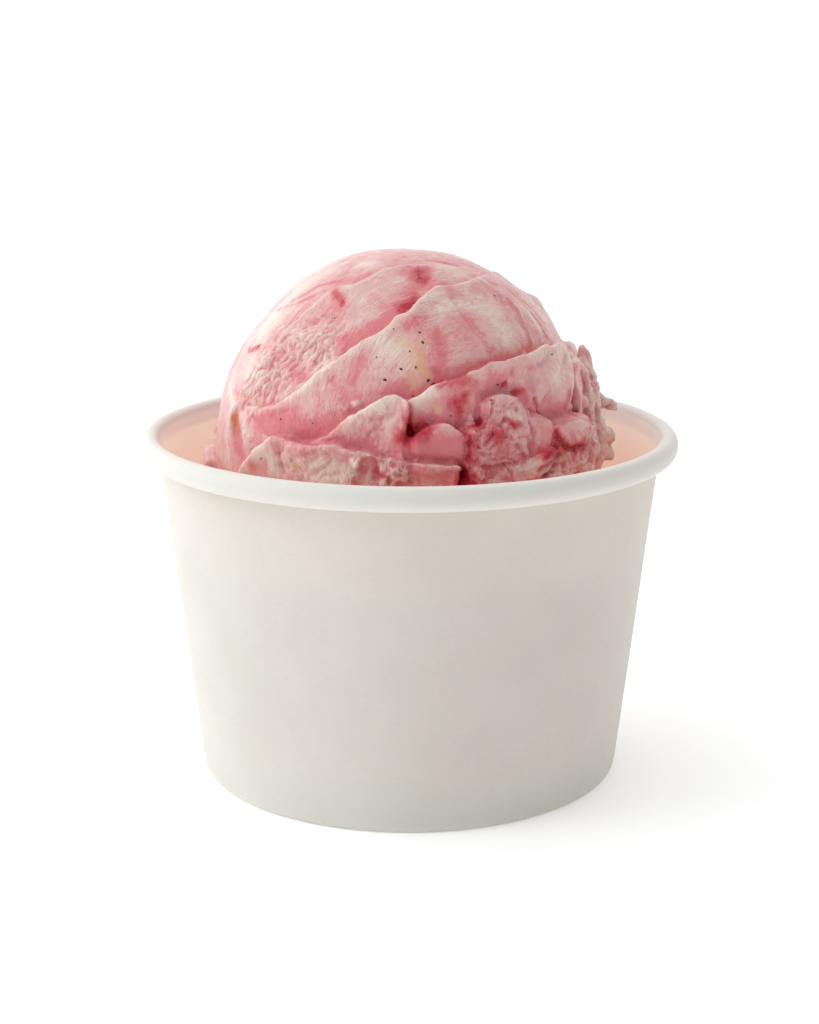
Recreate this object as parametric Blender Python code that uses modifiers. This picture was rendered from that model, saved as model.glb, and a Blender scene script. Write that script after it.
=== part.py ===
# Paper ice cream cup with a rolled rim, holding one ball of berry ripple ice cream on a bed of ice cream
# Metres, +Z up. The origin is the middle of the cup's foot, and the side that shows the folds faces -Y.

import math

import bmesh
import bpy
import numpy as np
from mathutils import Matrix, Vector, noise

MM = 0.001

# The cup: one sheet of paper board, hemmed at the foot and rolled at the rim, and a recessed bottom disc
CUP_HEIGHT = 62.2 * MM
RIM_RADIUS = 48.0 * MM
FOOT_RADIUS = 38.0 * MM
BOARD = 0.5 * MM
ROLL_WIDTH = 3.52 * MM
ROLL_HEIGHT = 4.24 * MM
ROLL_START = 180.0
ROLL_END = -125.0
ROLL_STEPS = 11
HEM_HEIGHT = 5.0 * MM
FOOT_CORNER = 0.7 * MM
FIT_GAP = 0.3 * MM
DISC_LEVEL = 6.25 * MM
FLANGE_FOOT = 1.9 * MM
DISC_BEND = 0.6 * MM
SEAM_WIDTH = 7.0 * MM
SEAM_STEP = 0.35 * MM
ROUND_STEPS = 64

# The ice cream: a ball that stands on a bed which fills the lower part of the cup
BALL_RADIUS = 33.5 * MM
BALL_CENTRE = Vector((-0.76 * MM, 0.0, 60.6 * MM))
BALL_LOWEST = -14.0
WAIST_RADIUS = 32.0 * MM
WAIST_LEVEL = 49.6 * MM
BED_LEVEL = 44.0 * MM
BED_ROOT = 34.5 * MM
BED_WAVES = 1.3 * MM
BED_WAVE_LENGTH = 8.0 * MM
WALL_GAP = 0.45 * MM
COLLAR_LEVEL = -3.0
COLLAR_SPREAD = 8.0
COLLAR_BULGE = 1.0 * MM
COLLAR_WAVE_LENGTH = 6.0 * MM
DOME_WAVES = 0.35 * MM
DOME_WAVE_LENGTH = 14.0 * MM
BALL_DIVISIONS = 7
CRAG_DIVISIONS = 4
ICE_CREAM_TRIANGLES = 7600
CLIFF = 0.9 * MM
LINE_STEPS = 24

# Each fold is the free upper edge of a layer of ice cream that stands proud of the one above it. Its line is
# given by azimuth and elevation on the ball, in degrees, azimuth 0 at the front and positive to the right.
# The proud side is on the right hand of someone who walks along the line.
FOLDS = [
    {"name": "crown", "height": 0.7, "reach": 9.0, "groove": 0.3, "ends": (0.15, 0.2),
     "line": [(-118, 24), (-97, 32), (-76, 40), (-57, 52), (-35, 61), (-18, 71), (12, 77), (44, 75), (66, 67)]},
    {"name": "long_lip", "height": 2.3, "reach": 11.0, "groove": 0.8, "ends": (0.1, 0.12),
     "line": [(-84, 7), (-72, 10), (-58, 13), (-44, 17), (-33, 26), (-19, 38), (-8, 43), (3, 51), (20, 61),
              (50, 63), (78, 58), (104, 46), (130, 33)]},
    {"name": "right_lip", "height": 2.5, "reach": 11.0, "groove": 0.8, "ends": (0.1, 0.2),
     "line": [(-6, 19), (0, 21), (7, 24), (11, 27), (20, 28), (31, 31), (45, 32), (60, 33), (72, 32), (77, 25),
              (76, 16), (74, 8)]},
    {"name": "front_petal", "height": 2.4, "reach": 9.0, "groove": 0.6, "ends": (0.12, 0.15),
     "line": [(-34, 5), (-27, 9), (-16, 16), (-10, 21), (-5, 23), (-1, 22), (1, 19), (2, 14), (2, 9)]},
    {"name": "foot_lip", "height": 2.6, "reach": 8.0, "groove": 0.7, "ends": (0.08, 0.1),
     "line": [(-57, -7), (-49, 0), (-44, 6), (-41, 8), (-36, 7), (-29, 8), (-19, 8), (-10, 6), (3, 3), (12, 2),
              (17, -3)]},
    {"name": "left_curl", "height": 1.0, "reach": 4.5, "groove": 1.5, "ends": (0.2, 0.2),
     "line": [(-76, 22), (-69, 16), (-62, 9), (-57, 3), (-51, -5)]},
    {"name": "back_upper", "height": 1.8, "reach": 12.0, "groove": 0.7, "ends": (0.15, 0.15),
     "line": [(118, 58), (140, 47), (160, 38), (180, 33), (203, 32), (224, 36), (238, 42)]},
    {"name": "back_middle", "height": 2.2, "reach": 10.0, "groove": 0.8, "ends": (0.12, 0.12),
     "line": [(98, 30), (114, 22), (134, 15), (152, 13), (170, 16), (190, 14), (212, 9), (232, 10), (250, 16)]},
    {"name": "back_lower", "height": 2.4, "reach": 8.0, "groove": 0.7, "ends": (0.1, 0.1),
     "line": [(104, 3), (120, 5), (138, 0), (158, 3), (176, 2), (196, -2), (218, 2), (240, 0), (254, 2), (263, -3)]},
]

# Each crag is a torn lump on the ball: where it sits, its width, height and depth in mm, its lean in degrees,
# how far its middle stands out from the ball's surface, and how rough it is
CRAGS = [
    {"at": (9, 7), "size": (12.0, 9.5, 6.0), "lean": 8, "out": 1.6, "rough": 0.20},
    {"at": (29, 16), "size": (7.0, 8.5, 6.0), "lean": -12, "out": 1.9, "rough": 0.26},
    {"at": (29, 5), "size": (15.0, 10.0, 7.0), "lean": 10, "out": 1.6, "rough": 0.28},
    {"at": (43, 9), "size": (4.8, 8.0, 5.0), "lean": 6, "out": 2.0, "rough": 0.12},
    {"at": (40, -1), "size": (11.0, 2.8, 4.0), "lean": -28, "out": 3.4, "rough": 0.16},
    {"at": (59, 7), "size": (9.5, 9.0, 6.0), "lean": -10, "out": 1.7, "rough": 0.22},
    {"at": (52, -5), "size": (9.0, 5.0, 6.0), "lean": 5, "out": 1.6, "rough": 0.28},
    {"at": (82, 11), "size": (5.5, 15.0, 6.0), "lean": -4, "out": 2.0, "rough": 0.26},
    {"at": (86, 18), "size": (3.6, 12.0, 8.0), "lean": 0, "out": 3.2, "rough": 0.28},
    {"at": (88, 27), "size": (2.4, 7.5, 2.8), "lean": -10, "out": 3.0, "rough": 0.16},
    {"at": (85, 24), "size": (2.6, 9.0, 2.8), "lean": 8, "out": 4.3, "rough": 0.16},
    {"at": (84, 11), "size": (4.0, 5.0, 5.0), "lean": 25, "out": 3.4, "rough": 0.24},
    {"at": (86, -4), "size": (6.0, 11.0, 5.0), "lean": 6, "out": 1.2, "rough": 0.26},
    {"at": (-3, -1), "size": (5.0, 4.0, 4.0), "lean": 0, "out": 2.6, "rough": 0.30},
    {"at": (10, -2), "size": (10.0, 4.2, 5.0), "lean": 2, "out": 2.8, "rough": 0.16},
    {"at": (22, -5), "size": (8.0, 4.0, 5.0), "lean": 12, "out": 1.8, "rough": 0.28},
]

# The back carries the same kind of torn lumps, spread evenly with some chance in their place and size
BACK_CRAGS = 11
BACK_START = 104.0
BACK_END = 258.0
BACK_LEVELS = (9.0, -3.0)
CHANCE_SEED = 11

COLOURS = {
    "paper": ((0.86, 0.86, 0.83), 0.75),
    "ice_cream": ((0.83, 0.52, 0.50), 0.45),
}


def clear_scene():
    for thing in list(bpy.data.objects):
        bpy.data.objects.remove(thing, do_unlink=True)


def new_collection(name):
    made = bpy.data.collections.new(name)
    bpy.context.scene.collection.children.link(made)
    return made


def material(name):
    colour, roughness = COLOURS[name]
    made = bpy.data.materials.new(name)
    made.use_nodes = True
    shader = made.node_tree.nodes["Principled BSDF"]
    shader.inputs["Base Color"].default_value = (*colour, 1.0)
    shader.inputs["Roughness"].default_value = roughness
    shader.inputs["Metallic"].default_value = 0.0
    return made


def mesh_object(name, mesh, home, finish=None):
    made = bpy.data.objects.new(name, mesh)
    home.objects.link(made)
    if finish:
        mesh.materials.append(finish)
    return made


def evaluated_mesh(thing):
    """The object's mesh with its modifiers applied."""
    graph = bpy.context.evaluated_depsgraph_get()
    return bpy.data.meshes.new_from_object(thing.evaluated_get(graph))


# The cup


def wall_slope():
    roll_level = CUP_HEIGHT - ROLL_HEIGHT / 2
    return (RIM_RADIUS - ROLL_WIDTH + BOARD - FOOT_RADIUS) / roll_level


def wall_middle(level):
    """Radius of the middle of the board at a height."""
    return FOOT_RADIUS - BOARD / 2 + wall_slope() * level


def turned_sheet(name, line, home, finish):
    """A sheet of board turned round the Z axis: an open line of (radius, height) given its thickness."""
    mesh = bpy.data.meshes.new(name)
    points = [(radius, 0.0, level) for radius, level in line]
    mesh.from_pydata(points, [(i, i + 1) for i in range(len(points) - 1)], [])
    made = mesh_object(name, mesh, home, finish)
    turn = made.modifiers.new("turn", "SCREW")
    turn.steps = turn.render_steps = ROUND_STEPS
    turn.use_merge_vertices = True
    turn.merge_threshold = 0.00001
    turn.use_smooth_shade = True
    board = made.modifiers.new("board", "SOLIDIFY")
    board.thickness = BOARD
    board.offset = 0.0
    board.use_even_offset = True
    return made


def wall_line():
    """The board's middle, from the hem's free edge round the foot, up the wall and over into the rim's roll."""
    hem_inset = 2 * (BOARD + FIT_GAP)
    line = [
        (wall_middle(HEM_HEIGHT) - hem_inset, HEM_HEIGHT),
        (wall_middle(FOOT_CORNER) - hem_inset, FOOT_CORNER + BOARD / 2),
        (wall_middle(0) - hem_inset + FOOT_CORNER / 2, BOARD / 2),
        (wall_middle(0) - FOOT_CORNER / 2, BOARD / 2),
        (wall_middle(FOOT_CORNER), FOOT_CORNER + BOARD / 2),
    ]
    middle = (RIM_RADIUS - ROLL_WIDTH / 2, CUP_HEIGHT - ROLL_HEIGHT / 2)
    half_width = (ROLL_WIDTH - BOARD) / 2
    half_height = (ROLL_HEIGHT - BOARD) / 2
    for step in range(ROLL_STEPS + 1):
        turn = math.radians(ROLL_START + (ROLL_END - ROLL_START) * step / ROLL_STEPS)
        line.append((middle[0] + half_width * math.cos(turn), middle[1] + half_height * math.sin(turn)))
    return line[::-1]


def disc_line():
    """The bottom disc's middle, from its centre out to the bend and down the flange between wall and hem."""
    inset = BOARD + FIT_GAP
    return [
        (0.0, DISC_LEVEL),
        (wall_middle(DISC_LEVEL) - inset - DISC_BEND, DISC_LEVEL),
        (wall_middle(DISC_LEVEL) - inset, DISC_LEVEL - DISC_BEND),
        (wall_middle(FLANGE_FOOT) - inset, FLANGE_FOOT),
    ]


def cup_wall(home, cutters, finish):
    """The side wall with its rolled rim and hemmed foot, and at the back the lap where the sheet's ends meet."""
    wall = turned_sheet("cup_wall", wall_line(), home, finish)
    top = CUP_HEIGHT - ROLL_HEIGHT - BOARD
    low = 2 * BOARD
    bpy.ops.mesh.primitive_cube_add(size=1.0)
    lap = bpy.context.object
    lap.name = "lap"
    mesh = lap.data
    depth = SEAM_STEP + BOARD / 2
    for vertex in mesh.vertices:
        level = top if vertex.co.z > 0 else low
        outer = wall_middle(level) + BOARD / 2 + SEAM_STEP
        reach = outer if vertex.co.y > 0 else outer - depth
        side = math.copysign(SEAM_WIDTH / 2, vertex.co.x)
        vertex.co = Vector((side, math.sqrt(reach**2 - side**2), level))
    for owner in list(lap.users_collection):
        owner.objects.unlink(lap)
    cutters.objects.link(lap)
    lap.hide_render = True
    lap.display_type = "WIRE"
    join = wall.modifiers.new("lap", "BOOLEAN")
    join.operation = "UNION"
    join.solver = "EXACT"
    join.object = lap
    return wall


# The ice cream


def unit(azimuth, elevation):
    """Direction on the ball."""
    turn, rise = math.radians(azimuth), math.radians(elevation)
    return Vector((math.sin(turn) * math.cos(rise), -math.cos(turn) * math.cos(rise), math.sin(rise)))


def fill_outline():
    """Radius and height of the ice cream's base form, from the ball's top to the middle of its underside."""
    outline = []
    for rise in np.linspace(90.0, BALL_LOWEST, 60):
        turn = math.radians(rise)
        outline.append((BALL_RADIUS * math.cos(turn), BALL_CENTRE.z + BALL_RADIUS * math.sin(turn)))
    bed_edge = wall_middle(BED_LEVEL) - BOARD / 2 - WALL_GAP
    under = DISC_LEVEL + BOARD / 2 + FIT_GAP
    outline += [
        (WAIST_RADIUS, WAIST_LEVEL),
        (BED_ROOT, BED_LEVEL + 2.2 * MM),
        ((BED_ROOT + bed_edge) / 2, BED_LEVEL + 0.4 * MM),
        (bed_edge - 1.0 * MM, BED_LEVEL),
        (bed_edge, BED_LEVEL - 1.0 * MM),
        (wall_middle(under) - BOARD / 2 - WALL_GAP, under + 1.0 * MM),
        (wall_middle(under) - BOARD / 2 - WALL_GAP - 1.0 * MM, under),
        (0.0, under),
    ]
    return np.array(outline)


def spread_evenly(outline, heights):
    """Points along the outline for the heights (1 to -1) of a unit sphere, so that equal areas stay equal."""
    ends, starts = outline[1:], outline[:-1]
    lengths = np.hypot(*(ends - starts).T)
    areas = np.append(0.0, np.cumsum(lengths * (ends[:, 0] + starts[:, 0])))
    wanted = (1.0 - heights) / 2 * areas[-1]
    return np.interp(wanted, areas, outline[:, 0]), np.interp(wanted, areas, outline[:, 1])


def smooth_line(angles):
    """Unit vectors along a smooth curve through the angles, with the side that stands proud at each."""
    points = np.array([unit(*pair) for pair in angles])
    points = np.vstack([2 * points[0] - points[1], points, 2 * points[-1] - points[-2]])
    line = []
    for before, start, end, after in zip(points, points[1:], points[2:], points[3:]):
        for share in np.arange(LINE_STEPS) / LINE_STEPS:
            bend = 2 * before - 5 * start + 4 * end - after
            twist = 3 * start - before - 3 * end + after
            line.append(start + 0.5 * ((end - before) * share + bend * share**2 + twist * share**3))
    line = np.array([*line, points[-2]])
    line /= np.linalg.norm(line, axis=1)[:, None]
    along = np.gradient(line, axis=0)
    side = np.cross(along, line)
    return line, side / np.linalg.norm(side, axis=1)[:, None]


def ramp(value, low, high):
    share = np.clip((value - low) / (high - low), 0.0, 1.0)
    return share * share * (3.0 - 2.0 * share)


def waves(points, length, seed):
    """Smooth noise from -1 to 1 with bumps of about that length."""
    shift = Vector((seed * 7.3, seed * 3.1, seed * 5.7))
    return np.array([noise.noise(Vector(point) / length + shift) for point in points])


def fold_relief(directions, fold, wiggle):
    """How far the surface stands out because of one fold."""
    line, side = smooth_line(fold["line"])
    closest = np.argmax(directions @ line.T, axis=1)
    offset = directions - line[closest]
    away = np.linalg.norm(offset, axis=1)
    across = np.einsum("ij,ij->i", offset, side[closest])
    past_end = (closest == 0) | (closest == len(line) - 1)
    distance = np.where(past_end, np.copysign(away, across), across) * BALL_RADIUS + wiggle
    along = closest / (len(line) - 1)
    begin, end = fold["ends"]
    strength = ramp(along, 0.0, begin) * ramp(1.0 - along, 0.0, end)
    proud = fold["height"] * MM * np.exp(-np.maximum(distance, 0.0) / (fold["reach"] * MM))
    sunk = -fold["groove"] * MM * np.exp(np.minimum(distance, 0.0) / (1.5 * MM))
    step = ramp(distance, -CLIFF / 2, CLIFF / 2)
    return strength * (step * proud + (1.0 - step) * sunk)


def crag_mesh(size, rough, seed):
    """A torn lump of ice cream round the origin."""
    shape = bmesh.new()
    bmesh.ops.create_icosphere(shape, subdivisions=CRAG_DIVISIONS, radius=0.5)
    for vertex in shape.verts:
        at = vertex.co.normalized()
        squareness = max(abs(at.x), abs(at.y), abs(at.z)) ** -0.45
        swell = 1.0 + rough * noise.noise(at * 2.1 + Vector((seed, 0, 0)))
        swell += 0.6 * rough * noise.noise(at * 4.7 + Vector((0, seed, 0)))
        vertex.co = at * 0.5 * squareness * swell
        vertex.co.x *= size[0] * MM
        vertex.co.y *= size[2] * MM
        vertex.co.z *= size[1] * MM
    mesh = bpy.data.meshes.new("crag")
    shape.to_mesh(mesh)
    shape.free()
    return mesh


def crag_list():
    """The crags that the front shows, and those that a seeded rule spreads round the back."""
    found = list(CRAGS)
    chance = np.random.default_rng(CHANCE_SEED)
    for index in range(BACK_CRAGS):
        share = (index + chance.uniform(0.2, 0.8)) / BACK_CRAGS
        found.append({
            "at": (BACK_START + (BACK_END - BACK_START) * share, BACK_LEVELS[index % 2] + chance.uniform(-3, 3)),
            "size": (chance.uniform(5, 12), chance.uniform(4, 9), chance.uniform(4, 6.5)),
            "lean": chance.uniform(-30, 30),
            "out": chance.uniform(1.2, 2.2),
            "rough": chance.uniform(0.16, 0.3),
        })
    return found


def place_crag(crag, seed, home):
    """A crag on the ball, its depth along the way out and leaning by its angle."""
    mesh = crag_mesh(crag["size"], crag["rough"], seed)
    out = unit(*crag["at"])
    right = Vector((0, 0, 1)).cross(-out).normalized()
    frame = Matrix((right, -out, right.cross(-out))).transposed().to_4x4()
    lean = Matrix.Rotation(math.radians(crag["lean"]), 4, "Y")
    made = mesh_object(f"crag_{seed}", mesh, home)
    spot = BALL_CENTRE + out * (BALL_RADIUS + crag["out"] * MM - 0.3 * crag["size"][2] * MM)
    made.matrix_world = Matrix.Translation(spot) @ frame @ lean
    return made


def ice_cream_body(home):
    """The ball and its bed as one closed skin, with the folds in relief."""
    shape = bmesh.new()
    bmesh.ops.create_icosphere(shape, subdivisions=BALL_DIVISIONS, radius=1.0)
    mesh = bpy.data.meshes.new("ice_cream")
    shape.to_mesh(mesh)
    shape.free()
    points = np.array([vertex.co for vertex in mesh.vertices])
    radius, level = spread_evenly(fill_outline(), points[:, 2])
    flat = points[:, :2] / np.maximum(np.hypot(points[:, 0], points[:, 1]), 1e-9)[:, None]
    points = np.column_stack([flat * radius[:, None], level])

    middle = np.array(BALL_CENTRE)
    upper = ramp(level, WAIST_LEVEL - 1.5 * MM, WAIST_LEVEL + 3.0 * MM)
    points[:, 0] += middle[0] * upper
    directions = points - middle
    directions /= np.linalg.norm(directions, axis=1)[:, None]
    wiggle = 0.35 * MM * waves(directions * BALL_RADIUS, 3.0 * MM, 1)
    relief = DOME_WAVES * waves(points, DOME_WAVE_LENGTH, 2)
    for fold in FOLDS:
        relief += fold_relief(directions, fold, wiggle)
    elevation = np.degrees(np.arcsin(directions[:, 2]))
    collar = np.exp(-(((elevation - COLLAR_LEVEL) / COLLAR_SPREAD) ** 2))
    relief += collar * COLLAR_BULGE * (0.6 + waves(points, COLLAR_WAVE_LENGTH, 3))
    points += directions * (relief * upper)[:, None]

    on_bed = (1.0 - upper) * ramp(level, BED_LEVEL - 3.0 * MM, BED_LEVEL - 0.5 * MM)
    points[:, 2] += on_bed * BED_WAVES * waves(points, BED_WAVE_LENGTH, 4)
    mesh.vertices.foreach_set("co", points.astype(np.float32).ravel())
    mesh.update()
    return mesh_object("ice_cream", mesh, home)


def ice_cream(home, cutters, finish):
    """The ball on its bed with its torn lumps fused on, thinned to the triangles that the form needs."""
    body = ice_cream_body(home)
    for seed, crag in enumerate(crag_list()):
        place_crag(crag, seed, cutters)
    bpy.context.view_layer.update()
    join = body.modifiers.new("crags", "BOOLEAN")
    join.operation = "UNION"
    join.operand_type = "COLLECTION"
    join.collection = cutters
    join.solver = "MANIFOLD"
    body.data = evaluated_mesh(body)
    body.modifiers.clear()
    for thing in list(cutters.objects):
        bpy.data.objects.remove(thing, do_unlink=True)
    thin = body.modifiers.new("thin", "DECIMATE")
    thin.use_collapse_triangulate = True
    body.data.calc_loop_triangles()
    thin.ratio = ICE_CREAM_TRIANGLES / len(body.data.loop_triangles)
    body.data = evaluated_mesh(body)
    body.modifiers.clear()
    body.data.materials.clear()
    body.data.materials.append(finish)
    body.data.shade_smooth()
    return body


def build():
    clear_scene()
    parts = new_collection("ice_cream_cup")
    crags = new_collection("crags")
    laps = new_collection("laps")
    laps.hide_render = True
    paper = material("paper")
    cream = material("ice_cream")
    cup_wall(parts, laps, paper)
    turned_sheet("cup_base", disc_line(), parts, paper)
    ice_cream(parts, crags, cream)


build()
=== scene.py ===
import math

import bpy
import numpy as np
from mathutils import Matrix, Vector, noise


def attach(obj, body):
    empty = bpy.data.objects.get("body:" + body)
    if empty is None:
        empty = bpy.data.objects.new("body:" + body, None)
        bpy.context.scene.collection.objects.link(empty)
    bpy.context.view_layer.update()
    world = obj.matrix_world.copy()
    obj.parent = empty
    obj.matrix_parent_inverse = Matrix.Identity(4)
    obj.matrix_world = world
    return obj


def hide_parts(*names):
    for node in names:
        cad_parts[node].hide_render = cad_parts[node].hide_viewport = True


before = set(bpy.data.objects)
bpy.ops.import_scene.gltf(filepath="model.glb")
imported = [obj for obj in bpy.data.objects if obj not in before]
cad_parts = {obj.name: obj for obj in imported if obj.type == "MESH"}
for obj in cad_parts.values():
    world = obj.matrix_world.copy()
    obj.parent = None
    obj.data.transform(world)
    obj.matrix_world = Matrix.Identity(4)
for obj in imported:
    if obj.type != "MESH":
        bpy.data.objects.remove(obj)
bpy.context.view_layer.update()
mm = 0.001

# Paper cup: side wall with a folded foot and a rolled rim, and the bottom disc inside the foot
cup = {
    "height": 62.2,
    "rimRadius": 47.95,
    "footRadius": 38.0,
    "sheet": 0.42,
    "rollWidth": 3.5,
    "rollHeight": 4.2,
    "rollEnd": -150,
    "rollSteps": 26,
    "hemHeight": 5.0,
    "hemInset": 1.6,
    "footBend": 0.75,
    "columns": 224,
    "discLevel": 6.25,
    "flangeFoot": 1.9,
    "seamStep": 0.3,
    "seamFade": 0.5,
    "dents": 0.14,
    "knurl": 0.10,
    "knurlTeeth": 112,
    "widest": 47.9,  # nothing reaches past this radius
    "tallest": 62.19,
}

# Ball of ice cream, in mm and degrees
scoop = {
    "centre": (-0.76, 0.0, 60.6),
    "radius": 33.5,
    "voxel": 0.3,
    "triangles": 194000,
    "rolledAbout": (28, 4),
    "torn": (0.30, 0.16),  # heights of the crumbly waves
    "pebbles": (0.16, 0.12),
    "wrinkles": (0.36, 0.24, 0.26),
    "wrinkleDrag": (0.45, -0.30, 0.84),
}

# A fold is the free upper edge of a layer. Its line is in azimuth and elevation on the ball, azimuth 0 in front and
# positive to the right, with the fold's strength there if it isn't 1. The layer stands proud on the right of a walker.
# The fifth value is how strongly the crest of the fold's lip is painted lighter, a painted highlight.
foldWords = ("height", "reach", "groove", "cliff", "lipHighlight", "ragged", "line")
folds = [dict(zip(foldWords, row)) for row in (
    # crown
    (0.75, 8, 0.35, 1, 0.45, 0.6, [(-60.5, 13, 0), (-62, 16.5, 0.4), (-59.5, 22.5, 0.7), (-56, 27.5, 0.8),
     (-54.5, 30.5, 0.9), (-53, 34), (-52, 38.5), (-49, 42.5), (-46, 47.5), (-44, 52), (-41, 55, 1.2),
     (-36.5, 57.5, 1.3), (-31, 58.7, 1.3), (-28, 60.5, 1.2), (-21, 65, 1.2), (-15.5, 68, 1.2), (-4.5, 70.5, 1.1),
     (11, 71.5), (23.5, 71), (35.5, 69, 0.9), (46, 66, 0.6), (58, 64, 0.1)]),
    # the long lip across the middle
    (2, 13, 0.55, 0.7, 0.75, 0.7, [(-58, 15.2, 0), (-54.5, 15.7, 0.35), (-51, 16, 0.45), (-46.5, 16.5, 0.55),
     (-41, 17.5, 0.7), (-36.5, 20, 0.8), (-32, 23, 0.9), (-28.5, 26), (-25, 29), (-22, 31.5), (-19, 34), (-14.5, 37),
     (-9.5, 39.5), (-5.5, 42.5), (-3.5, 45), (-1, 46, 1.05), (1.5, 46.7, 1.1), (3.5, 48.5, 1.1), (6, 50.5, 1.1),
     (11, 54), (16.5, 56.5, 0.9), (23.5, 57, 0.7), (31, 58, 0.55), (44, 60, 0.4), (58, 62, 0.2), (74, 62, 0)]),
    # the curl at the lower left
    (0.5, 4, 0.05, 1.8, 0.4, 0.5, [(-47, -2, 0.9), (-50, 0.5, 0.9), (-53.3, 4, 0.9), (-56.6, 7.7, 0.9),
     (-59.4, 10.4, 0.8), (-61.2, 13, 0.6), (-61.2, 15.5, 0.3), (-59, 16.5, 0)]),
    # the edge at the upper right
    (0.45, 4, 0.12, 0.9, 0.3, 0.5, [(34, 59, 0), (44, 58.5, 0.5), (51, 56, 0.7), (54.5, 50.5, 0.8), (54.5, 46, 0.8),
     (52.5, 41, 0.8), (52, 36, 0.6), (53, 32, 0)]),
    # the lip at the right
    (2.5, 12, 0.9, 0.45, 0.75, 1.3, [(-1.5, 20, 0), (0.5, 20.7, 0.5), (3, 20.8, 0.8), (5, 21.5), (7, 23.3), (9, 24.7),
     (12, 25.5), (16.5, 26), (18, 26.5), (20.5, 27.5), (25.5, 28.8), (30, 29.5), (32.5, 29.7), (36.5, 30.5),
     (40.5, 31), (44, 31.5), (50.5, 32.2), (53, 31.6), (58.5, 32, 0.9), (62, 31, 0.8), (63, 28.5, 0.8),
     (63, 25.5, 0.8), (61.5, 22.5, 0.8), (60, 19.5, 0.7), (58.8, 16.5, 0.5), (58, 13, 0.1)]),
    # the petal in front
    (2.3, 12, 0.7, 0.4, 0.6, 0.6, [(-36, 3, 0), (-31, 7, 0.4), (-28.5, 8, 0.6), (-25.5, 9, 0.8), (-21, 11, 0.95),
     (-17, 14), (-14, 16.3), (-10.5, 18.5), (-8, 20), (-5.5, 21.4), (-3, 21.8), (-1.3, 21.3), (0.1, 20), (0.7, 17.3),
     (0.4, 14.7), (0.1, 12), (0.2, 9), (0.2, 7), (0.2, 5.4, 0.5), (0.1, 4, 0)]),
    # the lip at the foot
    (2.5, 9, 0.7, 0.5, 0.7, 0.8, [(-62, -8, 0), (-57, -5.5, 0.4), (-51.5, -2, 0.7), (-46.7, 1.6, 0.9), (-43.5, 4.3),
     (-41, 6), (-39, 8), (-36.5, 9.2), (-33.6, 8.8), (-31, 8), (-27, 7.8), (-23, 8), (-18, 8.7), (-14.5, 8),
     (-10.5, 7.2), (-7.5, 6.3), (-5, 5.7), (-1, 5), (1.8, 4.8), (6.4, 4.5), (10.5, 4.2), (12.8, 4.1), (13.7, 3.4),
     (13.5, 1.2), (12.9, -3), (12.6, -7)]),
    # the chip at the foot
    (2.1, 10, 1.2, 0.4, 0.25, 0.5, [(0.6, 4, 0), (0.6, 5.5, 0.6), (0.9, 8), (1.4, 10.6), (3.3, 12.4), (6, 13.5),
     (9.5, 14.4), (11.4, 14.3), (13.5, 13), (15.1, 11.6), (15.9, 10), (15.8, 8), (15.4, 5.6), (15, 4, 0.6),
     (14.6, 2, 0)]),
    # the torn mass, lower right
    (2, 9, 1.6, 0.5, 0.1, 1.2, [(17.6, -5), (17.1, 0), (16.9, 3.5), (16.8, 7), (17, 10.5), (18.2, 12.2), (20, 13),
     (22.2, 14.4), (23.3, 17), (24, 19.3), (25.6, 20.5), (28, 20.9), (30.7, 20.3), (32.9, 19.2), (34.6, 17),
     (36, 14, 0.8), (39.5, 13.4, 0.8), (42.4, 12.2, 0.8), (44, 9.6, 0.9), (43.2, 6.6, 0.9), (41.8, 4.5, 0.9),
     (40.5, 1.5, 0.9)]),
    # the lump beside it
    (1.9, 8, 1.1, 0.6, 0.3, 0.9, [(44, -7, 0.8), (43.4, -2, 0.9), (43.2, 3), (43.8, 7), (46, 8.9), (50.2, 10.4),
     (55.5, 10.4), (61.5, 9), (68, 6.5, 0.8), (75, 3, 0.3)]),
    # the flake column
    (1.5, 8, 1.1, 0.6, 0.3, 1.8, [(70, 7, 0), (65, 12.5, 0.6), (63, 17), (64, 21.5), (66.5, 24.5), (70, 26.5),
     (78, 27, 0.4)]),
    # the ridge at the far left
    (0.75, 5, 0.3, 0.9, 0.4, 0.5, [(-61.5, 17, 0), (-62.3, 14, 0.8), (-62.6, 10), (-62, 6.5), (-60, 4), (-58, 1, 0.8),
     (-56, -2.5, 0.1)]),
    # over the top to the back
    (1.6, 12, 0.7, 0.6, 0.7, 0.9, [(20, 74, 0), (48, 70, 0.4), (75, 62, 0.4), (96, 52, 0.4), (118, 38, 0.8),
     (132, 28, 0.3)]),
    # the back: three folds and a chip
    (1.8, 12, 0.8, 0.55, 0.7, 1, [(112, 60, 0), (126, 53, 0.7), (140, 47), (160, 38), (180, 33), (203, 32),
     (224, 36, 0.8), (238, 42, 0)]),
    (2.2, 10, 0.9, 0.55, 0.7, 1.1, [(98, 30, 0), (106, 26, 0.7), (114, 22), (124, 19), (134, 15), (152, 13), (161, 16),
     (170, 16.5), (190, 14), (202, 10), (212, 9), (232, 10, 0.8), (250, 16, 0)]),
    (2.3, 8, 0.8, 0.55, 0.5, 1.3, [(100, 0, 0), (112, 4, 0.8), (120, 5), (129, 3), (138, 0), (148, 3), (158, 4),
     (176, 2), (186, -1), (196, -2), (206, 2), (218, 3), (240, 0), (254, 2, 0.8), (268, -4, 0)]),
    (1.8, 6, 1, 0.5, 0.3, 1, [(168, 8, 0), (172, 20, 0.9), (180, 25), (190, 24), (197, 18, 0.9), (199, 12, 0)]),
)]

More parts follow.
